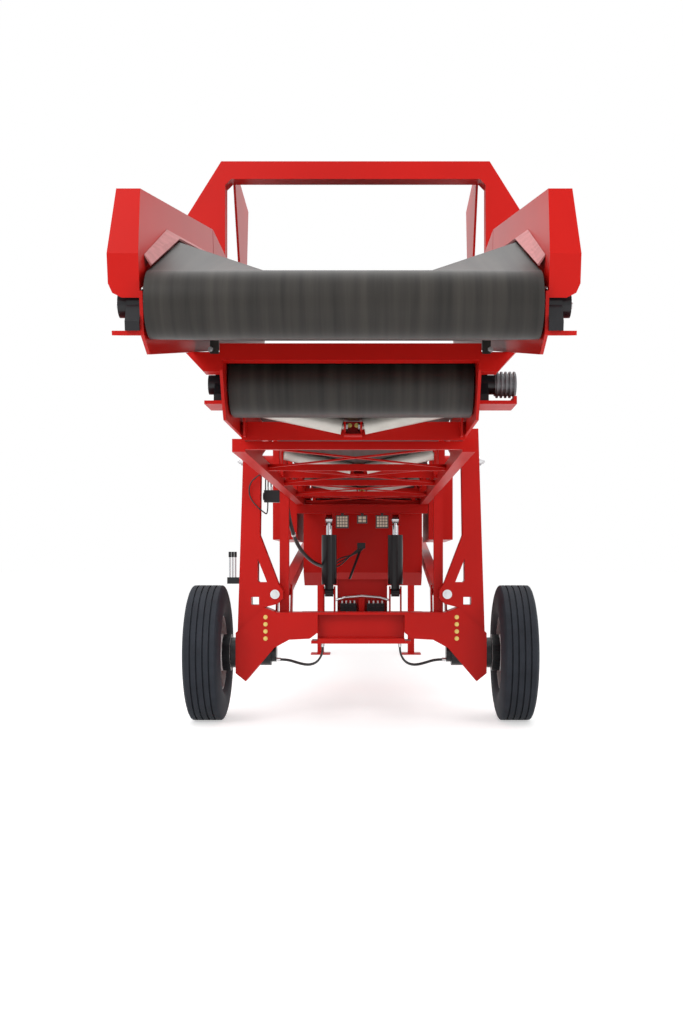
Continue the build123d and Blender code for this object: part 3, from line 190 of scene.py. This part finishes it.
def bolt(body, look, centre, axis, size):
    """A bolt whose washer lies on centre and whose head points along axis."""
    axis = Vector(axis).normalized()
    foot = Vector(centre)
    for radius, height, sides in BOLT_STACK:
        prism(body, look, foot, axis, size * radius, size * height, sides)
        foot = foot + axis * size * height


def plate(body, look, low, high):
    """A box between two corners, lowest first."""
    (x0, y0, z0), (x1, y1, z1) = low, high
    points = [(x, y, z) for z in (z0, z1) for x, y in ((x0, y0), (x1, y0), (x1, y1), (x0, y1))]
    batch(body, look).add(points, BOX_FACES)


def along_feeder(x, along, up):
    """A point given along and square to the feeder's tilted belt."""
    c, s = math.cos(FEED_TILT), math.sin(FEED_TILT)
    return Vector((x, FEED_Y + along * c - up * s, FEED_Z + along * s + up * c))


def about_axle(x, radius, share):
    """A point on a circle about the wheels' axis, at a share of a full turn."""
    angle = 2 * math.pi * share
    return (x, AXLE_Y + radius * math.cos(angle), WHEEL_Z + radius * math.sin(angle))


def beside_axle(route):
    """Points in the frame, from points whose Y is measured from the axle."""
    return [Vector((x, AXLE_Y + y, z)) for x, y, z in route]


def add_piece(name, data, body):
    """A new object that rides on a body."""
    piece = bpy.data.objects.new(name, data)
    bpy.context.scene.collection.objects.link(piece)
    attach(piece, body)
    return piece


def mesh_of(name, points, faces, look):
    """A mesh of one material."""
    mesh = bpy.data.meshes.new(name)
    mesh.from_pydata(points, [], faces)
    mesh.update()
    mesh.materials.append(look)
    return mesh


# Undercarriage hardware: arm bolts, foot pins, pivot bolts and wheel nuts
ARM_FACE = AXLE_Y - 0.110
ARM_BOLT_X, ARM_BOLT_HEIGHTS, ARM_BOLT = 0.738, (0.640, 0.695, 0.750, 0.805), 0.016
LEG_FACE = AXLE_Y - 0.095
FOOT_PIN_X, FOOT_PIN_Z = 0.666, 0.981
FOOT_CAP_RADIUS, FOOT_CAP, FOOT_BOLT = 0.036, 0.012, 0.022
PIVOT_END, PIVOT_Z, PIVOT_BOLT = 0.936, 2.02, 0.026
NUT_COUNT, NUT_FACE, NUT_CIRCLE, NUT = 10, 1.266, 0.215, 0.015
for sign, side in SIDES.items():
    outward = (sign, 0, 0)
    for z in ARM_BOLT_HEIGHTS:
        bolt("undercarriage", "yellow", (sign * ARM_BOLT_X, ARM_FACE, z), NEAR, ARM_BOLT)
    foot_pin = Vector((sign * FOOT_PIN_X, LEG_FACE, FOOT_PIN_Z))
    prism("undercarriage", "zinc", foot_pin, NEAR, FOOT_CAP_RADIUS, FOOT_CAP, sides=28)
    bolt("undercarriage", "zinc", foot_pin + NEAR * FOOT_CAP, NEAR, FOOT_BOLT)
    bolt("undercarriage", "zinc", (sign * PIVOT_END, AXLE_Y, PIVOT_Z), outward, PIVOT_BOLT)
    for count in range(NUT_COUNT):
        nut = about_axle(sign * NUT_FACE, NUT_CIRCLE, count / NUT_COUNT)
        bolt(f"wheel_{side}", "zinc", nut, outward, NUT)

# Feeder hardware: flange joints, bearings, side plates, cross beam with its pads, and arch feet
FLANGE_X, FLANGE_ALONG, FLANGE_COUNT, FLANGE_LOW, FLANGE_PITCH = 0.650, 1.622, 5, 0.095, 0.062
BEARING_X, BEARING_FOOT, BEARING_BOLT_SHIFT, BEARING_BOLT = 0.640, -0.050, 0.066, 0.010
SHAFT_END_X, SHAFT_END_RADIUS, SHAFT_END = 0.692, 0.012, 0.008
PLATE_X, PLATE_UP, PLATE_STATIONS = 0.624, 0.080, (0.25, 0.80, 1.35)
BEAM_FACE, BEAM_BOLT_Z, BEAM_BOLTS_X, BEAM_BOLT = AXLE_Y - 4.500, 2.045, (0.545, 0.640), 0.012
PAD_X, PAD_Z, PAD_THICK = (0.514, 0.548), (2.028, 2.080), 0.006
ARCH_FACE, ARCH_BOLTS_Z, ARCH_BOLTS_X = AXLE_Y - 3.165, (2.49, 2.53), (0.650, 0.690)
SMALL_BOLT = 0.011
for sign in SIDES:
    outward = (sign, 0, 0)
    for count in range(FLANGE_COUNT):
        joint = along_feeder(sign * FLANGE_X, FLANGE_ALONG, FLANGE_LOW + count * FLANGE_PITCH)
        bolt("boom", "zinc", joint, DOWN_FEEDER, SMALL_BOLT)
    for along in (0.0, FEED_LENGTH):
        for shift in (-BEARING_BOLT_SHIFT, BEARING_BOLT_SHIFT):
            foot = along_feeder(sign * BEARING_X, along + shift, BEARING_FOOT)
            bolt("boom", "zinc", foot, UP, BEARING_BOLT)
        shaft = along_feeder(sign * SHAFT_END_X, along, 0)
        prism("boom", "zinc", shaft, outward, SHAFT_END_RADIUS, SHAFT_END, sides=12)
    for along in PLATE_STATIONS:
        bolt("boom", "zinc", along_feeder(sign * PLATE_X, along, PLATE_UP), outward, SMALL_BOLT)
    for x in BEAM_BOLTS_X:
        bolt("boom", "zinc", (sign * x, BEAM_FACE, BEAM_BOLT_Z), NEAR, BEAM_BOLT)
    left_x, right_x = sorted(sign * x for x in PAD_X)
    plate("boom", "belt_rubber", (left_x, BEAM_FACE - PAD_THICK, PAD_Z[0]), (right_x, BEAM_FACE, PAD_Z[1]))
    for z in ARCH_BOLTS_Z:
        for x in ARCH_BOLTS_X:
            bolt("boom", "zinc", (sign * x, ARCH_FACE, z), NEAR, SMALL_BOLT)

# Shelves under the pillow blocks of the two tail drums; the motor's side is longer and has a lip
SHELF = 0.014
FOOT_DROP = 0.078
TAIL_Y, TAIL_Z, TAIL_FACE = AXLE_Y - 4.259, 1.945, 0.512
SHELF_HALF, SHELF_TOP = 0.10, TAIL_Z - FOOT_DROP
SHORT_REACH, LONG_REACH = 0.080, 0.156
LIP, LIP_RISE = 0.012, 0.018
FEED_SHELF_X, FEED_SHELF_ALONG = (0.618, 0.705), (-0.07, 0.10)
for sign, reach in ((-1, SHORT_REACH), (1, LONG_REACH)):
    left_x, right_x = sorted((sign * TAIL_FACE, sign * (TAIL_FACE + reach)))
    plate("boom", "red_paint", (left_x, TAIL_Y - SHELF_HALF, SHELF_TOP - SHELF),
          (right_x, TAIL_Y + SHELF_HALF, SHELF_TOP))
lip_end = TAIL_FACE + LONG_REACH
plate("boom", "red_paint", (lip_end - LIP, TAIL_Y - SHELF_HALF, SHELF_TOP),
      (lip_end, TAIL_Y + SHELF_HALF, SHELF_TOP + LIP_RISE))
for sign in SIDES:
    (inner, outer), (front, rear) = FEED_SHELF_X, FEED_SHELF_ALONG
    corners = [along_feeder(sign * x, along, up) for up in (-FOOT_DROP - SHELF, -FOOT_DROP)
               for x, along in ((inner, front), (outer, front), (outer, rear), (inner, rear))]
    batch("boom", "red_paint").add(corners, BOX_FACES if sign > 0 else flipped(BOX_FACES))

# Return idlers: bolts on the cross plates and nuts on the inner shaft ends
VEE_START, VEE_PITCH, VEE_COUNT = AXLE_Y - 3.890, 2.2, 6
VEE_BOLT_X, VEE_BOLT_SHIFT, VEE_BOLT_Z, VEE_BOLT = 0.016, 0.046, 1.829, 0.010
VEE_NUT_X, VEE_NUT_Z, VEE_NUT_RADIUS, VEE_NUT = 0.032, 1.8155, 0.018, 0.009
for count in range(VEE_COUNT):
    y = VEE_START + count * VEE_PITCH
    for sign in SIDES:
        bolt("boom", "yellow", (sign * VEE_BOLT_X, y + VEE_BOLT_SHIFT, VEE_BOLT_Z), NEAR, VEE_BOLT)
        prism("boom", "zinc", (sign * VEE_NUT_X, y, VEE_NUT_Z), (-sign, 0, 0), VEE_NUT_RADIUS, VEE_NUT)

# Rubber skirts between the wings and the edges of the feeder belt, which rise from flat to trough; their
# pale pink colour is a painted highlight along the belt's edge
SKIRT_START, TROUGH_START, SKIRT_END = 0.03, 0.45, 1.60
FLAT_EDGE, TROUGH_EDGE = (0.600, 0.104), (0.577, 0.224)
WING_X, SKIRT_RISE, SKIRT_THICK, SKIRT_LAP = 0.617, 0.030, 0.006, 0.004
for sign in SIDES:
    corners = []
    for along in (SKIRT_START, TROUGH_START, SKIRT_END):
        share = min(along / TROUGH_START, 1)
        x, up = [flat + share * (trough - flat) for flat, trough in zip(FLAT_EDGE, TROUGH_EDGE)]
        up += SKIRT_THICK
        section = ((x, up), (WING_X, up + SKIRT_RISE), (WING_X, up + SKIRT_RISE + SKIRT_THICK),
                   (x - SKIRT_LAP, up + SKIRT_THICK))
        corners += [along_feeder(sign * across, along, rise) for across, rise in section]
    faces = [(3, 2, 1, 0), (8, 9, 10, 11)]
    for base in (0, 4):
        faces += [(base + i, base + (i + 1) % 4, base + 4 + (i + 1) % 4, base + 4 + i) for i in range(4)]
    batch("boom", "skirt").add(corners, faces if sign < 0 else flipped(faces))

# Lamps: rows of pale emitters on the three housings, each with its x, width, height and cells a side
LAMPS = ((-0.170, 0.110, 0.110, 4), (0.0, 0.088, 0.070, 2), (0.170, 0.110, 0.110, 4))
LAMP_TOP, LAMP_BORDER = 1.632, 0.008
LED_FRONT, LED_BACK, LED_HALF = AXLE_Y + 0.801, AXLE_Y + 0.805, 0.40
for x, width, height, cells in LAMPS:
    pitch_x, pitch_z = (width - 2 * LAMP_BORDER) / cells, (height - 2 * LAMP_BORDER) / cells
    half_x, half_z = pitch_x * LED_HALF, pitch_z * LED_HALF
    for column in range(cells):
        for row in range(cells):
            cell_x = x - width / 2 + LAMP_BORDER + (column + 0.5) * pitch_x
            cell_z = LAMP_TOP - LAMP_BORDER - (row + 0.5) * pitch_z
            plate("boom", "led", (cell_x - half_x, LED_FRONT, cell_z - half_z),
                  (cell_x + half_x, LED_BACK, cell_z + half_z))

# Black knobs on the hand levers
LEVER_X, LEVER_Y, LEVER_PITCH, LEVER_COUNT = -0.990, AXLE_Y - 0.030, 0.022, 3
KNOB_FOOT, KNOB_RADIUS, KNOB = 1.2685, 0.0102, 0.042
for count in range(LEVER_COUNT):
    lever = (LEVER_X - (count - 0.5) * LEVER_PITCH, LEVER_Y, KNOB_FOOT)
    prism("undercarriage", "black_paint", lever, UP, KNOB_RADIUS, KNOB, sides=16)

# Pipe, valve sections and bracket behind the axle beam, on the rear frame's cross tube
CROSS_Y, CROSS_TOP = AXLE_Y + 0.900, 0.810
PIPE = [(-0.238, 0.905), (-0.150, 0.932), (0.0, 0.945), (0.150, 0.932), (0.238, 0.905)]
PIPE_Y, PIPE_RADIUS = CROSS_Y - 0.030, 0.010
VALVE_SECTIONS, VALVE_HALF, VALVE_TOP = ((-0.190, -0.050), (0.040, 0.190)), 0.045, 0.880
PORT_COUNT, PORT_Z, PORT_RADIUS, PORT = 4, 0.846, 0.010, 0.018
STUD_RADIUS, STUD = 0.009, 0.022
BRACKET_X, BRACKET_HALF, BRACKET_TOP = (-0.030, 0.020), 0.006, 0.937
for (x0, z0), (x1, z1) in zip(PIPE, PIPE[1:]):
    run = Vector((x1 - x0, 0, z1 - z0))
    prism("undercarriage", "zinc", (x0, PIPE_Y, z0), run, PIPE_RADIUS, run.length, sides=12)
for left_x, right_x in VALVE_SECTIONS:
    plate("undercarriage", "black_paint", (left_x, CROSS_Y - VALVE_HALF, CROSS_TOP),
          (right_x, CROSS_Y + VALVE_HALF, VALVE_TOP))
    for count in range(PORT_COUNT):
        x = left_x + (count + 0.5) * (right_x - left_x) / PORT_COUNT
        prism("undercarriage", "zinc", (x, CROSS_Y, VALVE_TOP), UP, STUD_RADIUS, STUD)
        port = (x, CROSS_Y - VALVE_HALF, PORT_Z)
        prism("undercarriage", "black_paint", port, NEAR, PORT_RADIUS, PORT, sides=12)
plate("undercarriage", "red_paint", (BRACKET_X[0], CROSS_Y - BRACKET_HALF, CROSS_TOP),
      (BRACKET_X[1], CROSS_Y + BRACKET_HALF, BRACKET_TOP))

# Red panel with a bent edge behind the valve sections, between the cylinders' lugs
PANEL_X, PANEL_TOP, PANEL_THICK, PANEL_EDGE = 0.215, 1.087, 0.007, 0.028
PANEL_FACE = CROSS_Y + 0.046
plate("undercarriage", "red_paint", (-PANEL_X, PANEL_FACE, CROSS_TOP),
      (PANEL_X, PANEL_FACE + PANEL_THICK, PANEL_TOP))
plate("undercarriage", "red_paint", (-PANEL_X, PANEL_FACE - PANEL_EDGE, PANEL_TOP - PANEL_THICK),
      (PANEL_X, PANEL_FACE, PANEL_TOP))

# Dark cover on the levers' base
COVER_LOW, COVER_HIGH = beside_axle([(-1.038, -0.077, 1.062), (-0.945, 0.017, 1.112)])
plate("undercarriage", "black_paint", COVER_LOW, COVER_HIGH)

# Route of the motor hoses from the beam's under plate to the wheel motors, and their swaged ends
HOSE_ROUTE = [(0.300, 0.600), (0.300, 0.546), (0.314, 0.491), (0.350, 0.446), (0.402, 0.428), (0.455, 0.433),
              (0.508, 0.448), (0.560, 0.464), (0.612, 0.470), (0.660, 0.470)]
HOSE_STATIONS = {"front": -0.030, "rear": 0.025}
HOSE = 0.016
SWAGE_RADIUS, SWAGE = 0.0125, 0.030
for sign in SIDES:
    for station in HOSE_STATIONS.values():
        for (x, z), run in ((HOSE_ROUTE[0], -UP), (HOSE_ROUTE[-1], (-sign, 0, 0))):
            end = (sign * x, AXLE_Y + station, z)
            prism("undercarriage", "zinc", end, run, SWAGE_RADIUS, SWAGE, sides=12)

# Road tyres: grooved treads and round sidewalls on the CAD tyre's own size, as (across, radius)
TREAD, TREAD_RADIUS = 0.116, 0.5248
SIDEWALL = [(0.105, 0.292), (0.128, 0.318), (0.139, 0.360), (0.142, 0.400), (0.140, 0.440), (0.133, 0.475),
            (0.124, 0.503), (TREAD, 0.517), (TREAD - 0.008, 0.5235)]
GROOVES = (0.070, 0.024, -0.024, -0.070)
GROOVE_HALF, GROOVE_SLOPE, GROOVE_RADIUS = 0.006, 0.002, 0.512
TYRE_STEPS = 120
TYRE_SMOOTH = math.radians(35)
profile = list(SIDEWALL)
for middle in GROOVES:
    for half, radius in ((GROOVE_HALF, TREAD_RADIUS), (GROOVE_HALF - GROOVE_SLOPE, GROOVE_RADIUS),
                         (GROOVE_SLOPE - GROOVE_HALF, GROOVE_RADIUS), (-GROOVE_HALF, TREAD_RADIUS)):
        profile.append((middle + half, radius))
profile += [(-across, radius) for across, radius in reversed(SIDEWALL)]
for sign, side in SIDES.items():
    points, faces = [], []
    for step in range(TYRE_STEPS):
        turned = step / TYRE_STEPS
        points += [about_axle(sign * WHEEL_X + across, radius, turned) for across, radius in profile]
        here, there = step * len(profile), (step + 1) % TYRE_STEPS * len(profile)
        for index in range(len(profile)):
            after = (index + 1) % len(profile)
            faces.append((here + index, here + after, there + after, there + index))
    mesh = mesh_of(f"tyre_{side}_tread", points, faces, LOOKS["tyre"])
    for face in mesh.polygons:
        face.use_smooth = True
    mesh.set_sharp_from_angle(angle=TYRE_SMOOTH)
    tyre = add_piece(f"tyre_{side}_tread", mesh, f"wheel_{side}")
    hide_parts(f"tyre_{side}")

# Silver rims with a black sleeve on each hub, as (across, radius) round the sleeve's section
HUB_SIDES = 40
HUB_IN, HUB_OUT = 1.0122, 1.0715
SLEEVE_BORE, SLEEVE_RADIUS = 0.1402, 0.1425
SLEEVE = ((HUB_IN, SLEEVE_BORE), (HUB_IN, SLEEVE_RADIUS), (HUB_OUT, SLEEVE_RADIUS), (HUB_OUT, SLEEVE_BORE))
for sign, side in SIDES.items():
    mesh = frame["nodes"][f"rim_{side}"].data.copy()
    mesh.materials.clear()
    mesh.materials.append(SILVER)
    rim = add_piece(f"rim_{side}_silver", mesh, f"wheel_{side}")
    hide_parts(f"rim_{side}")
    points, faces = [], []
    for ring, (across, radius) in enumerate(SLEEVE):
        points += [about_axle(sign * across, radius, step / HUB_SIDES) for step in range(HUB_SIDES)]
        here, there = ring * HUB_SIDES, (ring + 1) % len(SLEEVE) * HUB_SIDES
        for step in range(HUB_SIDES):
            after = (step + 1) % HUB_SIDES
            faces.append((here + step, here + after, there + after, there + step)[::sign])
    mesh = mesh_of(f"hub_{side}_sleeve", points, faces, LOOKS["black_paint"])
    add_piece(f"hub_{side}_sleeve", mesh, f"wheel_{side}")


def add_hose(name, route, diameter):
    """A hose on the undercarriage along a list of control points."""
    curve = bpy.data.curves.new(f"{name}_line", "CURVE")
    curve.dimensions = "3D"
    curve.bevel_depth = diameter / 2
    curve.bevel_resolution = 4
    curve.use_fill_caps = True
    curve.materials.append(LOOKS["hose_rubber"])
    spline = curve.splines.new("NURBS")
    spline.points.add(len(route) - 1)
    for control, point in zip(spline.points, route):
        control.co = (*point, 1)
    spline.order_u = 3
    spline.use_endpoint_u = True
    spline.resolution_u = 8
    hose = add_piece(f"{name}_line", curve, "undercarriage")
    return hose


for sign, side in SIDES.items():
    for place, station in HOSE_STATIONS.items():
        route = beside_axle([(sign * x, station, z) for x, z in HOSE_ROUTE])
        hose = add_hose(f"hose_{side}_{place}", route, HOSE)
        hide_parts(f"hose_{side}_{place}")

# Two hoses that rise from the valve block and turn down behind the left post
VALVE_HOSE = 0.010
VALVE_ROUTE = [(-0.735, 0.074, 1.795), (-0.735, 0.074, 1.850), (-0.734, 0.084, 1.905),
               (-0.716, 0.112, 1.943), (-0.686, 0.142, 1.943), (-0.660, 0.166, 1.915),
               (-0.638, 0.178, 1.868), (-0.620, 0.170, 1.828), (-0.608, 0.144, 1.812),
               (-0.605, 0.110, 1.812)]
LOWER_ACROSS, LOWER_DROP = 0.026, 0.034
VALVE_SWAGE_RADIUS, VALVE_SWAGE = 0.0085, 0.028
lower_route = []
for count, (x, y, z) in enumerate(VALVE_ROUTE):
    drop = LOWER_DROP if count > 1 else 0
    across = LOWER_ACROSS * (1 - count / (len(VALVE_ROUTE) - 1))
    lower_route.append((x + across, y, z - drop))
for name, route in (("upper", beside_axle(VALVE_ROUTE)), ("lower", beside_axle(lower_route))):
    add_hose(f"hose_valve_{name}", route, VALVE_HOSE)
    prism("undercarriage", "zinc", route[0], UP, VALVE_SWAGE_RADIUS, VALVE_SWAGE)

# A hose that loops from the valve block's foot round the leg's face to its top
LOOP_ROUTE = [(-0.735, 0.055, 1.700), (-0.735, 0.055, 1.650), (-0.738, 0.010, 1.608),
              (-0.742, -0.060, 1.606), (-0.752, -0.125, 1.616), (-0.795, -0.150, 1.650),
              (-0.850, -0.138, 1.715), (-0.866, -0.125, 1.780), (-0.850, -0.138, 1.845),
              (-0.795, -0.150, 1.893), (-0.752, -0.125, 1.912), (-0.742, -0.060, 1.916),
              (-0.746, 0.005, 1.906), (-0.752, 0.046, 1.860), (-0.752, 0.046, 1.795)]
add_hose("hose_valve_loop", beside_axle(LOOP_ROUTE), VALVE_HOSE)

# A thick conduit from behind the left post to the back of the left cylinder, with a clamp on its upper bend
CONDUIT = 0.032
CONDUIT_ROUTE = [(-0.590, 0.128, 1.760), (-0.590, 0.128, 1.700), (-0.580, 0.140, 1.620),
                 (-0.562, 0.210, 1.510), (-0.536, 0.380, 1.400), (-0.494, 0.600, 1.310),
                 (-0.432, 0.820, 1.240), (-0.360, 1.000, 1.200), (-0.320, 1.050, 1.195),
                 (-0.290, 1.070, 1.196)]
CLAMP_STRETCH, CLAMP, CLAMP_WALL = slice(3, 5), 0.024, 0.003
conduit_route = beside_axle(CONDUIT_ROUTE)
add_hose("conduit_left", conduit_route, CONDUIT)
above, below = conduit_route[CLAMP_STRETCH]
run = (below - above).normalized()
clamp_end = (above + below) / 2 - run * CLAMP / 2
prism("undercarriage", "zinc", clamp_end, run, CONDUIT / 2 + CLAMP_WALL, CLAMP, sides=20)

# Three hoses that fan out of the conduit to a block on a dark bar
BAR_FOOT, BAR_TOP = beside_axle([(-0.150, 0.966, 0.980), (-0.010, 1.070, 1.362)])
BAR_RADIUS = 0.013
BLOCK_LOW, BLOCK_HIGH = beside_axle([(-0.046, 1.035, 1.352), (0.026, 1.105, 1.402)])
FAN_COUNT, FAN_HOSE = 3, 0.012
FAN_END, FAN_SPREAD = beside_axle([(-0.032, 1.055, 1.352), (-0.195, 1.070, 1.200)])
FAN_LEAD, FAN_ARRIVAL = Vector((0.040, 0, 0)), Vector((0.060, 0, 0.050))
# How much each hose lies above the last at its start, its lead and its spread, and to the right at its end
START_STEP, LEAD_STEP, SPREAD_STEP, END_STEP = UP * 0.007, UP * 0.010, UP * 0.036, Vector((0.020, 0, 0))
bar_run = BAR_TOP - BAR_FOOT
prism("undercarriage", "black_paint", BAR_FOOT, bar_run, BAR_RADIUS, bar_run.length, sides=4)
plate("undercarriage", "black_paint", BLOCK_LOW, BLOCK_HIGH)
for count in range(FAN_COUNT):
    start = conduit_route[-1] + START_STEP * (count - 1)
    lead = start + FAN_LEAD + LEAD_STEP * count
    spread = FAN_SPREAD + SPREAD_STEP * count
    end = FAN_END + END_STEP * count
    add_hose(f"hose_fan_{count + 1}", [start, lead, spread, end - FAN_ARRIVAL, end], FAN_HOSE)

# One mesh for each body and finish of the small pieces
FINISH = {"yellow": (YELLOW, "zinc"), "led": (LED, "lamp"), "skirt": (SKIRT_RUBBER_AND_HIGHLIGHT, "belt_rubber")}
for (body, look), gathered in BATCHES.items():
    mat, slot = FINISH.get(look, (LOOKS.get(look), look))
    mesh = mesh_of(f"{body}_{look}", gathered.points, gathered.faces, mat)
    add_piece(f"{body}_{look}_detail", mesh, body)

# White floor and world: what makes them white is only seen, and the object gets the soft light
FLOOR_SIZE, FLOOR_DROP = 400, 0.002
FLOOR_GLOW = 0.50
SOFT_LIGHT = 0.65
WHITE = (1, 1, 1, 1)
scene = bpy.context.scene
scene.view_settings.view_transform = "Standard"


def seen_directly(tree):
    """A socket that is 1 on camera, glossy and transmission rays, and 0 on all others."""
    path = tree.nodes.new("ShaderNodeLightPath")
    seen = path.outputs["Is Camera Ray"]
    for ray in ("Is Glossy Ray", "Is Transmission Ray"):
        either = tree.nodes.new("ShaderNodeMath")
        either.operation = "MAXIMUM"
        tree.links.new(seen, either.inputs[0])
        tree.links.new(path.outputs[ray], either.inputs[1])
        seen = either.outputs["Value"]
    return seen


bpy.ops.mesh.primitive_plane_add(size=FLOOR_SIZE, location=(0, 0, -FLOOR_DROP))
floor = bpy.context.object
floor.name = "floor"
pale = material("floor", (0.80, 0.80, 0.80), 0.95, gloss=0.0)
tree = pale.node_tree
shader = tree.nodes["Principled BSDF"]
shader.inputs["Emission Color"].default_value = WHITE
glow = tree.nodes.new("ShaderNodeMath")
glow.operation = "MULTIPLY"
glow.inputs[1].default_value = FLOOR_GLOW
tree.links.new(seen_directly(tree), glow.inputs[0])
tree.links.new(glow.outputs["Value"], shader.inputs["Emission Strength"])
floor.data.materials.append(pale)

world = bpy.data.worlds.new("studio")
scene.world = world
world.use_nodes = True
tree = world.node_tree
tree.nodes.clear()
output = tree.nodes.new("ShaderNodeOutputWorld")
mix = tree.nodes.new("ShaderNodeMixShader")
tree.links.new(seen_directly(tree), mix.inputs["Fac"])
for socket, strength in ((1, SOFT_LIGHT), (2, 1.0)):
    background = tree.nodes.new("ShaderNodeBackground")
    background.inputs["Color"].default_value = WHITE
    background.inputs["Strength"].default_value = strength
    tree.links.new(background.outputs["Background"], mix.inputs[socket])
tree.links.new(mix.outputs["Shader"], output.inputs["Surface"])

# Lamps
FEED_END = (0, AXLE_Y - 3.0, 1.6)


def area(name, place, target, size, power):
    """A rectangular lamp that points at its target."""
    data = bpy.data.lights.new(name, "AREA")
    data.shape = "RECTANGLE"
    data.size, data.size_y = size
    data.energy = power
    lamp = bpy.data.objects.new(name, data)
    scene.collection.objects.link(lamp)
    lamp.location = place
    lamp.rotation_euler = (Vector(target) - Vector(place)).to_track_quat("-Z", "Y").to_euler()


area("key", (-6.0, AXLE_Y - 11.0, 7.5), FEED_END, (6, 6), 620)
area("fill", (7.0, AXLE_Y - 9.0, 4.0), FEED_END, (6, 5), 240)
area("top", (0.0, AXLE_Y, 10.0), (0, AXLE_Y, 0), (10, 14), 600)

# Camera, level and a little right of the middle, as in the photo
data = bpy.data.cameras.new("camera")
camera = bpy.data.objects.new("camera", data)
scene.collection.objects.link(camera)
camera.location = (0.084, AXLE_Y - 9.0, 1.2)
camera.rotation_euler = (math.radians(90), 0, 0)
data.sensor_fit = "AUTO"
data.sensor_width = 36
data.lens = 40.5
data.shift_x = -0.0298
data.shift_y = 0.0527
data.clip_end = 500
scene.camera = camera
